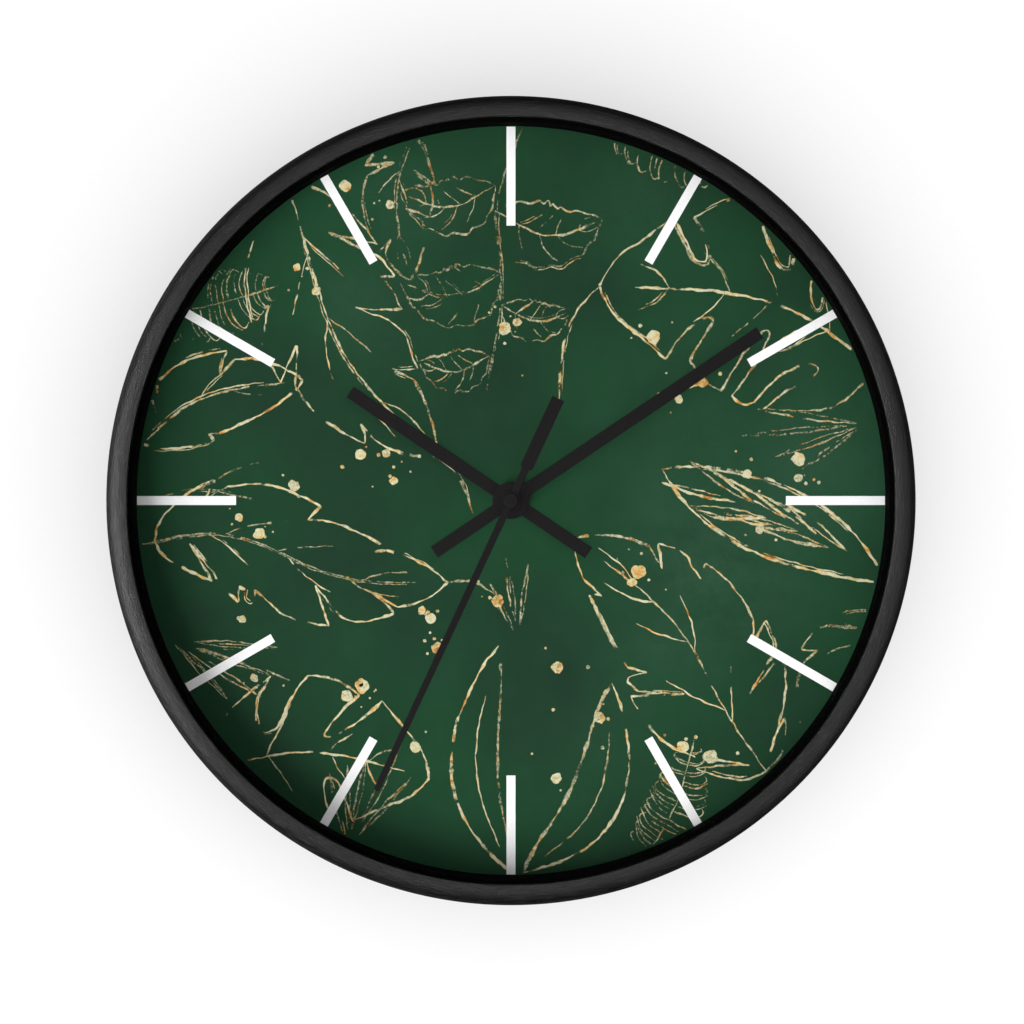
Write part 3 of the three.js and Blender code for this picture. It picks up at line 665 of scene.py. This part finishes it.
class Spine:
    """A leaf's midrib, from its base (0) to its tip (1), and places beside it."""

    def __init__(self, points):
        self.path = resampled(smoothed(points, 3), 0.8)
        self.normals = normals_of(self.path)

    def on(self, share):
        place = min(max(share, 0.0), 1.0) * (len(self.path) - 1)
        index = min(int(place), len(self.path) - 2)
        return self.path[index].lerp(self.path[index + 1], place - index), self.normals[index]

    def beside(self, share, offset):
        point, normal = self.on(share)
        return point + normal * offset

    def rib(self, start=0.0, end=1.0, count=12):
        return [self.on(start + (end - start) * i / count)[0] for i in range(count + 1)]


def fullness(share, widest=0.4):
    """The share of a leaf's half width at a place along it."""
    share = min(max(share, 0.0), 1.0)
    if share < widest:
        return math.sin(math.pi / 2 * share / widest) ** 0.8
    return math.cos(math.pi / 2 * (share - widest) / (1 - widest)) ** 0.75


def whole_edge(leaf, half, widest, steps):
    """One unbroken edge of a leaf, on the side that half's sign gives."""
    return [leaf.beside(i / steps, half * fullness(i / steps, widest)) for i in range(steps + 1)]


def slim_leaf(pen, spine, half, weight=0.9):
    """A lance-shaped leaf: a bold edge, a lighter edge and a short midrib."""
    leaf = Spine(spine)
    pen.stroke(whole_edge(leaf, half, 0.45, 14), weight * 1.2, repeat=1.0)
    pen.stroke(whole_edge(leaf, -half * 0.85, 0.5, 14), weight * 0.85, repeat=0.7)
    pen.stroke(leaf.rib(0.12, 0.78), weight * 0.6, repeat=0.2)


def torn_edge(pen, leaf, half, side, tears, depth, lean, weight):
    """One side of a torn leaf: round lobes parted by narrow tears that run towards the midrib."""
    chance = pen.random.uniform
    start, end = 0.05, 0.97
    pitch = (end - start) / tears
    bounds = [start + pitch * (i + chance(-0.38, 0.38) * (0 < i < tears)) for i in range(tears + 1)]

    def edge(share, reach=1.0):
        return leaf.beside(share, side * half * fullness(share) * reach)

    line = [leaf.on(start)[0]]
    for number, (first, last) in enumerate(zip(bounds, bounds[1:])):
        length = last - first
        shoulder = edge(first + length * 0.1, chance(0.84, 0.98))
        tip = edge(last, chance(1.0, 1.12))
        line += [shoulder, shoulder] if number else [shoulder]
        line += [edge(first + length * 0.4, chance(1.0, 1.07)), edge(first + length * 0.75, 1.06), tip, tip]
        if number < tears - 1:
            cut = min(0.8, depth * chance(0.12, 1.3))
            notch = edge(last - lean * cut, 1 - cut)
            line += [tip.lerp(notch, 0.5) + leaf.on(last)[1] * side * half * chance(-0.06, 0.03)]
            line += [notch, notch]
    line.append(leaf.on(1.0)[0])
    pen.corners(line, weight, 0.5)


def side_veins(pen, leaf, half, side, count, lean=0.16, reach=0.62, weight=0.5):
    start, end = 0.14, 0.84
    for i in range(count):
        share = start + (end - start) * (i + pen.random.uniform(0.3, 0.7)) / count
        length = reach * pen.random.uniform(0.7, 1.25)
        tip = leaf.beside(share + lean, side * half * fullness(share + lean) * length)
        middle = leaf.beside(share + lean * 0.4, side * half * fullness(share) * length * 0.5)
        pen.stroke([leaf.on(share)[0], middle, tip], weight, repeat=0.25)


def torn_leaf(pen, spine, half, left=5, right=5, depth=0.6, lean=0.1, ribs=3, weight=0.8):
    leaf = Spine(spine)
    torn_edge(pen, leaf, half, 1, left, depth, lean, weight)
    torn_edge(pen, leaf, half, -1, right, depth, lean, weight)
    pen.stroke(leaf.rib(0.0, 0.9), weight * 0.85, repeat=0.9)
    side_veins(pen, leaf, half, 1, ribs, reach=0.45)
    side_veins(pen, leaf, half, -1, ribs, reach=0.45)


def split_side(pen, leaf, half, side, slots, weight):
    """One side of a split leaf: lobes parted by long fingers of air with round inner ends."""
    chance = pen.random.uniform
    start, end = 0.14, 0.86
    pitch = (end - start) / slots
    line = [leaf.beside(0.0, side * half * 0.12), leaf.beside(0.03, side * half * 0.62)]
    for i in range(slots):
        mouth = start + pitch * (i + chance(0.35, 0.6))
        wide = pitch * chance(0.12, 0.2)
        edge = half * fullness(mouth, 0.35)
        deep = chance(0.3, 0.45)
        back = mouth - pitch * chance(0.3, 0.5)
        near_lip = leaf.beside(mouth - wide, side * edge * 1.04)
        far_lip = leaf.beside(mouth + wide, side * edge * 1.02)
        inner = [
            leaf.beside(mouth - wide * 1.4 - pitch * 0.1, side * edge * 0.75),
            leaf.beside(back - wide * 0.5, side * edge * deep),
            leaf.beside(back, side * edge * (deep - 0.06)),
            leaf.beside(back + wide * 0.9, side * edge * deep),
            leaf.beside(mouth - pitch * 0.02, side * edge * 0.7),
        ]
        line += [near_lip, near_lip, *inner, far_lip, far_lip]
        ahead = mouth + pitch * 0.45
        line.append(leaf.beside(ahead, side * half * fullness(ahead, 0.35) * 1.06))
    line += [leaf.beside(0.95, side * half * 0.3), leaf.on(1.0)[0]]
    pen.corners(line, weight, 0.6)


def split_leaf(pen, spine, half, slots=3, holes=2, weight=0.85):
    """A heart-shaped leaf with fingers cut in from its edge and eyes beside its midrib."""
    leaf = Spine(spine)
    for side in (1, -1):
        split_side(pen, leaf, half, side, slots, weight)
        for i in range(holes):
            share = 0.3 + 0.2 * i
            pen.stroke(eye(leaf, share, side, half * 0.27, half * 0.1), 0.65, repeat=0.3)
        side_veins(pen, leaf, half, side, slots + 1, 0.1, 0.42, 0.55)
    pen.stroke(leaf.rib(0.0, 0.88), weight, repeat=0.9)


def eye(leaf, share, side, offset, size):
    """A slim loop that leans away from the midrib."""
    point, normal = leaf.on(share)
    centre = point + normal * side * offset
    lean = (turned_left(normal) * -0.6 + normal * side).normalized()
    across = turned_left(lean)
    turns = [2 * math.pi * i / 12 for i in range(13)]
    return [centre + lean * math.cos(a) * size * 1.8 + across * math.sin(a) * size * 0.6 for a in turns]


def oval_leaf(pen, spine, half, veins=4, weight=0.65):
    """A branch leaf with a wavy edge and a full set of veins."""
    leaf = Spine(spine)
    for side in (1, -1):
        line = []
        for i in range(23):
            share = i / 22
            ripple = 1.0 + 0.1 * math.sin(i * 2.1 + side) * (0 < i < 22)
            line.append(leaf.beside(share, side * half * fullness(share, 0.4) * ripple))
        pen.stroke(line, weight, rounds=1, repeat=0.6)
        side_veins(pen, leaf, half, side, veins, 0.16, 0.82, 0.45)
    pen.stroke(leaf.rib(0.0, 0.93), weight, repeat=0.6)


def fern(pen, spine, reach, pairs=17):
    """A frond: a thin stem with paired leaflets that curl at their ends."""
    stalk = Spine(spine)
    pen.stroke(stalk.rib(), 0.5, repeat=0.3)
    for i in range(pairs):
        share = 0.04 + 0.94 * i / pairs
        length = reach * math.sin(math.pi * (0.22 + 0.76 * share)) ** 0.8
        root, normal = stalk.on(share)
        ahead = turned_left(normal) * -1
        for side in (1, -1):
            out = (normal * side + ahead * pen.random.uniform(0.05, 0.3)).normalized()
            tip = root + out * length + ahead * length * 0.12
            hook = tip + ahead * length * 0.22 - out * length * 0.2
            bend = root + out * length * 0.6 - ahead * length * 0.08
            pen.stroke([root, bend, tip, hook], 0.5, repeat=0.0, taper=2.0)
            if pen.random.random() < 0.6:
                low = ahead * length * -0.16
                pen.stroke([root + low, bend + low, tip + low * 0.4], 0.42, repeat=0.0, taper=2.0)


def spray(pen, root, spikes):
    """Narrow blades that fan out from a root; each spike is (clock angle, length, width)."""
    foot = Vector(root)
    for degrees, length, width in spikes:
        angle = math.radians(degrees)
        ahead = Vector((math.sin(angle), math.cos(angle)))
        aside = turned_left(ahead)
        tip = foot + ahead * length + aside * width * 0.6
        start = foot + ahead * length * pen.random.uniform(0.05, 0.25)
        middle = foot + ahead * length * 0.55
        pen.stroke([start, middle + aside * width, tip], 0.6, repeat=0.5)
        pen.stroke([start, middle - aside * width * 0.5, tip], 0.45, repeat=0.2)


def plume(pen, spine, half, blades=5):
    """A long leaf with bold swelling edges and blades drawn inside it."""
    leaf = Spine(spine)
    pen.stroke(whole_edge(leaf, half, 0.55, 12), 1.1, repeat=1.0)
    pen.stroke(whole_edge(leaf, -half * 0.8, 0.5, 12), 1.1, repeat=1.0)
    for i in range(blades):
        share = 0.2 + 0.55 * i / blades
        side = 1 if i % 2 else -1
        reach = half * pen.random.uniform(0.3, 0.65)
        tip = leaf.beside(share + 0.3, side * reach)
        low = leaf.beside(share, side * reach * 0.2)
        middle = leaf.beside(share + 0.15, side * reach * 0.95)
        pen.stroke([low, middle, tip], 1.0, repeat=0.9)
        pen.stroke([low, leaf.beside(share + 0.14, side * reach * 0.35), tip], 0.6, repeat=0.0)


def stem(pen, points, weight):
    pen.stroke(points, weight, rounds=3, repeat=0.9)


def draw_bold(pen):
    """The foliage that stands out: a loose whorl of leaves, with places as (u, v) on the dial."""
    pen.ink = 0.98
    torn_leaf(pen, [(-72, 106), (-64, 76), (-54, 44), (-24, 14)], 22, left=5, right=5, lean=0.14)
    split_leaf(pen, [(116, 42), (84, 66), (28, 68)], 32, slots=3, holes=1)
    torn_leaf(pen, [(84, -90), (68, -68), (54, -38), (20, -12)], 23, left=5, right=6, lean=0.12)
    torn_leaf(pen, [(-118, -14), (-88, -8), (-56, -26), (-20, -26)], 18, left=4, right=6, lean=0.1)
    split_leaf(pen, [(-92, -84), (-62, -78), (-26, -88)], 24, slots=2, holes=0, weight=0.75)
    plume(pen, [(119, -26), (96, -10), (48, 10)], 13, blades=8)
    torn_leaf(pen, [(-119, 16), (-100, 34), (-66, 38)], 13, left=3, right=2, depth=0.5, ribs=1)
    slim_leaf(pen, [(0, -118), (-14, -86), (-4, -46)], 8, weight=0.85)
    slim_leaf(pen, [(4, -118), (30, -98), (32, -58)], 9, weight=1.05)
    stem(pen, [(-20, -26), (-12, -25), (-5, -30)], 0.7)
    stem(pen, [(28, 68), (20, 60), (16, 48), (15, 28)], 0.75)


def draw_faint(pen):
    """The foliage that sits back in the wash."""
    pen.ink = 0.52
    stem(pen, [(4, 119), (-6, 94), (-2, 66), (-8, 34)], 0.65)
    places = ((-5, 100, -1, 30), (-5, 92, 1, 34), (-3, 72, -1, 32), (-3, 62, 1, 22), (-7, 46, -1, 22))
    for u, v, side, length in places:
        middle = (u + side * length * 0.5, v - length * 0.3)
        tip = (u + side * length, v - length * 0.08)
        oval_leaf(pen, [(u, v), middle, tip], length * 0.3, veins=4)
    torn_leaf(pen, [(119, -34), (104, -54), (98, -82)], 14, left=3, right=4, ribs=2)
    torn_leaf(pen, [(-30, 118), (-38, 96), (-32, 70)], 11, left=3, right=3, ribs=2)
    fern(pen, [(-116, 62), (-100, 60), (-74, 68)], 12, pairs=13)
    fern(pen, [(40, -116), (52, -100), (58, -76)], 10, pairs=13)
    fern(pen, [(34, 118), (52, 108), (76, 106)], 10, pairs=11)
    spray(pen, (-52, -110), [(14, 30, 1.4), (30, 36, 1.8), (44, 30, 1.3), (2, 26, 1.2), (-12, 24, 1.0)])
    spray(pen, (112, 24), [(-80, 34, 1.6), (-94, 40, 1.3), (-108, 30, 1.5), (-124, 24, 1.2)])
    spray(pen, (-108, -44), [(96, 34, 1.6), (110, 40, 1.2), (124, 34, 1.5), (138, 26, 1.2)])
    spray(pen, (2, -44), [(-24, 20, 1.2), (-6, 26, 1.6), (10, 24, 1.2)])
    stem(pen, [(-24, 14), (-16, 8), (-12, -4)], 0.6)
    stem(pen, [(84, -90), (78, -100), (70, -110)], 0.7)
    stem(pen, [(-116, 0), (-98, 4), (-80, 0)], 0.6)
    stem(pen, [(-98, 4), (-88, 10), (-80, 12)], 0.5)


def scattered_drops(chance):
    """Loose clusters of gold drops and their spatter, as (u, v, radius, ink)."""
    drops = []
    for _ in range(DROP_CLUSTERS):
        reach = PRINT_RADIUS * math.sqrt(chance.uniform(0.04, 0.9))
        heading = chance.uniform(0, 2 * math.pi)
        cluster = Vector((reach * math.cos(heading), reach * math.sin(heading)))
        for _ in range(chance.randint(1, 3)):
            drop = cluster + Vector((chance.gauss(0, 7), chance.gauss(0, 7)))
            drops.append((*drop, chance.uniform(1.2, 2.3), chance.choice((0.7, 0.9, 1.05))))
            for _ in range(3):
                spot = drop + Vector((chance.gauss(0, 4.5), chance.gauss(0, 4.5)))
                drops.append((*spot, chance.uniform(0.2, 0.62), chance.uniform(0.5, 0.85)))
    return [drop for drop in drops if math.hypot(drop[0], drop[1]) + drop[2] * 1.4 < PRINT_RADIUS]


def blot(centre, radius, phase, back):
    """A dried drop of gold: a wavering edge and a domed top."""
    sides = 24
    rings = ((1.0, 0.0), (0.86, 0.7), (0.45, 1.0))
    vertices = []
    for reach, lift in rings:
        for i in range(sides):
            angle = 2 * math.pi * i / sides
            heading = Vector((math.sin(angle), math.cos(angle)))
            waver = 1 + 0.3 * noise.noise(Vector((*(heading * 1.2), phase)))
            waver += 0.12 * noise.noise(Vector((*(heading * 3.5), phase)))
            distance = radius * reach * waver
            place = Vector(centre) + heading * distance
            vertices.append(at(place.x, place.y, back + INK_THICKNESS * lift))
    ends = [list(range(sides)), list(range(2 * sides, 3 * sides))]
    return vertices, [*band(0, sides, sides), *band(sides, 2 * sides, sides), *ends]


def build_foliage():
    pen = Pen(SEED)
    draw_faint(pen)
    draw_bold(pen)
    vertices, faces, inks = ribbon_mesh(pen.ribbons)
    print_gold("gold_lines", vertices, faces, inks)
    vertices, faces, inks = [], [], []
    back = DIAL_FRONT + INK_LIFT + INK_LEVELS * INK_LEVEL_STEP
    for i, (u, v, radius, ink) in enumerate(scattered_drops(random.Random(SEED + 2))):
        part, sides = blot((u, v), radius, i * 3.1, back)
        add_part(vertices, faces, part, sides)
        inks += [ink * share for share in (0.55, 1.0, 0.85) for _ in range(len(part) // 3)]
    print_gold("gold_drops", vertices, faces, inks)


# ---------- Hands ----------

HOUR = {"node": "hour_hand", "angle": 304.0, "tip": 61.4, "tail": 29.6, "width": 4.1, "hub": 5.2}
MINUTE = {"node": "minute_hand", "angle": 56.0, "tip": 94.8, "tail": 29.2, "width": 4.1, "hub": 5.85}
SECOND = {"angle": 204.9, "tip": 100.7, "tail": 35.4, "weight_start": 11.7, "weight": 4.1}
SECOND_WIDTH = {"root": 2.3, "tip": 2.0}


def bar_outline(tip, tail, width, hub, steps=28):
    """A square-ended bar that runs through a round hub, pointing at twelve."""
    half = width / 2
    start = math.degrees(math.asin(half / hub))

    def hub_arc(first, last):
        turns = [math.radians(first + (last - first) * i / steps) for i in range(steps + 1)]
        return [(hub * math.sin(turn), hub * math.cos(turn)) for turn in turns]

    return [(half, tip), *hub_arc(start, 180 - start), (half, -tail), (-half, -tail),
            *hub_arc(180 + start, 360 - start), (-half, tip)]


def build_bar_hand(hand, name):
    back, front = layer(hand["node"])
    front = min(front, back + 0.5)
    outline = bar_outline(hand["tip"], hand["tail"], hand["width"], hand["hub"])
    bar = prism_mesh(at_clock_angle(outline, hand["angle"]), back, front, 0.1)
    return make_piece(name, bar, HAND_PAINT, hand["node"], "hand_black", [hand["node"]])


def second_outline():
    root, tip, weight = SECOND_WIDTH["root"] / 2, SECOND_WIDTH["tip"] / 2, SECOND["weight"] / 2
    start, tail = SECOND["weight_start"], SECOND["tail"]
    nose = arc(0, SECOND["tip"] - tip, tip, 81, 0, 6)
    right = [*nose, (root, 0), (root, root - start), (weight, -start), (weight, -tail)]
    return right + [(-u, v) for u, v in reversed(right)]


def build_hands():
    hands = [build_bar_hand(HOUR, "hour_bar"), build_bar_hand(MINUTE, "minute_bar")]
    bore, rim, foot, top = 1.8, 3.4, 33.45, 33.85
    boss = [(bore, foot), (rim, foot), (rim, top - 0.13), (rim - 0.12, top), (bore, top)]
    boss = turned_mesh(boss, 64)
    hands.append(make_piece("minute_boss", boss, HAND_PAINT, "minute_hand", "hand_black"))
    low, high = layer("second_hand_cap")
    back, front = low - 0.5, low - 0.1
    sort = (HAND_PAINT, "second_hand", "hand_black")
    blade = prism_mesh(at_clock_angle(second_outline(), SECOND["angle"]), back, front, 0.08)
    hands.append(make_piece("second_blade", blade, *sort, ["second_hand"]))
    tube_radius = tube_length = 1.1
    tube = [(tube_radius, back - tube_length), (tube_radius, back + 0.05)]
    hands.append(make_piece("second_tube", turned_mesh(tube, 32, closed=False), *sort))
    cap_radius, rounding = 2.45, 0.35
    cap = [(cap_radius, low - 0.05), *arc(cap_radius - rounding, high - rounding, rounding, 0, 90, 5)]
    cap = turned_mesh(cap, 64, closed=False)
    hands.append(make_piece("second_cap", cap, *sort, ["second_hand_cap"]))
    return hands


# ---------- Battery ----------


def build_battery():
    """A cell in a plain sleeve that stops short of its steel ends."""
    low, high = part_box("battery")
    left, right = low.x / MM, high.x / MM
    centre_v, radius = (low.z + high.z) / 2 / MM, (high.z - low.z) / 2 / MM
    centre_w = sum(layer("battery")) / 2
    shoulder, nub, skin, lap = right - 1.2, 2.75, 0.9, 0.35

    def about_cell(reach, angle, u):
        return at(u, centre_v + reach * math.sin(angle), centre_w + reach * math.cos(angle))

    inner = radius - skin
    sleeve = [
        (inner, left + lap), (radius - 0.3, left + lap), (radius, left + lap + 0.3),
        (radius, shoulder - lap - 0.3), (radius - 0.3, shoulder - lap), (inner, shoulder - lap),
    ]
    sleeve = turned_mesh(sleeve, 64, place=about_cell)
    make_piece("cell_sleeve", sleeve, CELL_SLEEVE, "battery", "battery_can", ["battery"])
    can = [
        (inner - 0.4, left), (inner - 0.05, left + 0.25), (inner - 0.05, shoulder - 0.25),
        (inner - 0.4, shoulder), (nub + 0.2, shoulder), (nub, shoulder + 0.2), (nub, right - 0.25),
        (nub - 0.25, right),
    ]
    can = turned_mesh(can, 64, closed=False, place=about_cell)
    make_piece("cell_ends", can, ZINC_STEEL, "battery", "zinc_steel")


# ---------- The CAD nodes that stay ----------

NODES_IN = [
    (PRINTED_WASH, ["dial"]), (HARDBOARD, ["backing_board"]), (RUBBER, ["gasket"]),
    (COPPER, ["coil_winding"]), (LAMINATE, ["circuit_board"]), (RESIN, ["control_chip"]),
    (FERRITE, ["rotor_magnet"]),
    (BRASS, ["dial_washer", "dial_nut", "center_bushing"]),
    (MOULDED_BLACK, ["movement_shell", "movement_cover", "setting_knob"]),
    (ZINC_STEEL, ["hanger", "stator_plate", "coil_core", "quartz_can", "seconds_arbor"]),
    (ZINC_STEEL, ["contact_positive", "contact_negative"]),
    (ZINC_STEEL, [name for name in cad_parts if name.startswith("retaining_point")]),
    (ACETAL, ["bridge_plate", "coil_bobbin", "rotor_pinion", "reduction_wheel", "third_wheel"]),
    (ACETAL, ["seconds_wheel", "minute_wheel", "minute_pipe", "motion_wheel", "hour_wheel"]),
    (ACETAL, ["setting_arbor"]),
]

# Nodes whose sharp edges are eased, with the width in millimetres.
EASED_NODES = {"movement_shell": 0.35, "movement_cover": 0.3, "hanger": 0.15, "setting_knob": 0.15}


def dress_nodes():
    for material, names in NODES_IN:
        for name in names:
            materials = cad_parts[name].data.materials
            materials.clear()
            materials.append(material)
    for name, width in EASED_NODES.items():
        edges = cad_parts[name].modifiers.new("eased_edges", "BEVEL")
        edges.width = width * MM
        edges.segments = 2
        edges.limit_method = "ANGLE"
        edges.angle_limit = math.radians(50)
        edges.harden_normals = True


# ---------- Stage, lights and camera ----------


def area_light(name, clock_angle, off_axis, distance, size, power):
    """A square soft box aimed at the clock from off_axis degrees towards a clock angle."""
    around, away = math.radians(clock_angle), math.radians(off_axis)
    spot = Vector((math.sin(away) * math.sin(around), -math.cos(away), math.sin(away) * math.cos(around)))
    data = bpy.data.lights.new(name, "AREA")
    data.shape = "SQUARE"
    data.size = size
    data.energy = power
    light = placed_in_scene(name, data)
    light.location = spot * distance
    light.rotation_euler = (-spot).to_track_quat("-Z", "Y").to_euler()
    return light


# Name, clock angle and degrees off the clock's axis; distance and size in metres; power in watts.
LIGHTS = [
    ("key", 228, 58, 1.4, 1.15, 34.5),
    ("gloss", 262, 52, 1.4, 0.55, 24),
    ("low_gloss", 118, 46, 1.4, 0.8, 4.8),
    ("fill", 50, 40, 1.6, 1.2, 4.5),
    ("rear_key", 60, 163, 1.5, 1.0, 18),
    ("rear_fill", 290, 150, 1.5, 1.2, 9),
]


def build_lights(hands):
    """Soft boxes. The key isn't seen in reflections, and the two gloss lights are seen only there."""
    lights = {row[0]: area_light(*row) for row in LIGHTS}
    key = lights["key"]
    key.visible_glossy = False
    lights["gloss"].visible_diffuse = lights["low_gloss"].visible_diffuse = False
    shading = bpy.data.collections.new("key_casts_no_shadow_from")
    for hand in hands:
        shading.objects.link(hand)
    for member in shading.collection_objects:
        member.light_linking.link_state = "EXCLUDE"
    key.light_linking.blocker_collection = shading


def build_wall():
    """A white wall behind the clock, seen from the front only. It glows, and where the clock closes it in
    the glow is darker as a painted shade.
    """
    half, gap, painted_halo_reach, darkest, brightest = 3.0, 0.0005, 0.15, 0.36, 1.08
    y = WALL_Y + gap
    mesh = bpy.data.meshes.new("wall")
    corners = [(-half, y, -half), (half, y, -half), (half, y, half), (-half, y, half)]
    mesh.from_pydata(corners, [], [(0, 1, 2, 3)])
    material = bpy.data.materials.new("wall_white")
    material.use_nodes = True
    material.node_tree.nodes.clear()
    nodes = Nodes(material.node_tree)
    # Painted shade: ambient occlusion dims the glow round the clock, and the tilted normal makes this
    # painted halo darker above the clock than below it.
    tilt = Vector((0.0, -1.0, -0.22)).normalized()
    normal = nodes.node("ShaderNodeCombineXYZ", dict(enumerate(tilt))).outputs[0]
    openness = nodes.node("ShaderNodeAmbientOcclusion", {"Distance": painted_halo_reach, "Normal": normal})
    level = nodes.span(openness.outputs["AO"], 0.0, 1.0, darkest, brightest)
    glow = nodes.node("ShaderNodeEmission", {"Strength": level}).outputs[0]
    clear = nodes.node("ShaderNodeBsdfTransparent").outputs[0]
    behind = nodes.node("ShaderNodeNewGeometry").outputs["Backfacing"]
    choose = nodes.node("ShaderNodeMixShader", {0: behind, 1: glow, 2: clear}).outputs[0]
    nodes.node("ShaderNodeOutputMaterial", {"Surface": choose})
    mesh.materials.append(material)
    wall = placed_in_scene("wall", mesh)
    wall.visible_shadow = False
    wall.visible_diffuse = False
    wall.visible_glossy = False
    wall.visible_transmission = False


def build_world():
    """White to the camera. To the clock, a dim even sky in front and near darkness behind the wall."""
    world = bpy.data.worlds.new("studio")
    bpy.context.scene.world = world
    world.use_nodes = True
    nodes = Nodes(world.node_tree)
    heading = nodes.node("ShaderNodeTexCoord").outputs["Generated"]
    split = nodes.node("ShaderNodeSeparateXYZ", {0: heading}).outputs
    sky = nodes.span(split["Y"], 0.0, -0.9, 0.012, SKY_LIGHT)
    camera_ray = nodes.node("ShaderNodeLightPath").outputs["Is Camera Ray"]
    strength = nodes.node("ShaderNodeMix", {0: camera_ray, 2: sky, 3: 1.1}).outputs[0]
    background = world.node_tree.nodes["Background"].inputs
    background["Color"].default_value = (1, 1, 1, 1)
    world.node_tree.links.new(strength, background["Strength"])


def build_camera():
    data = bpy.data.cameras.new("camera")
    data.sensor_width = 36
    data.lens = 99.1
    data.shift_x = 0.001
    data.shift_y = -0.0112
    camera = placed_in_scene("camera", data)
    distance = 0.88
    camera.location = (0, WALL_Y - HOOP_DEPTH * MM - distance, 0)
    camera.rotation_euler = (math.radians(90), 0, 0)
    bpy.context.scene.camera = camera


build_camera()
build_wall()
build_world()
build_front()
build_marks()
build_foliage()
build_lights(build_hands())
build_battery()
dress_nodes()
bpy.context.scene.view_settings.view_transform = "Standard"
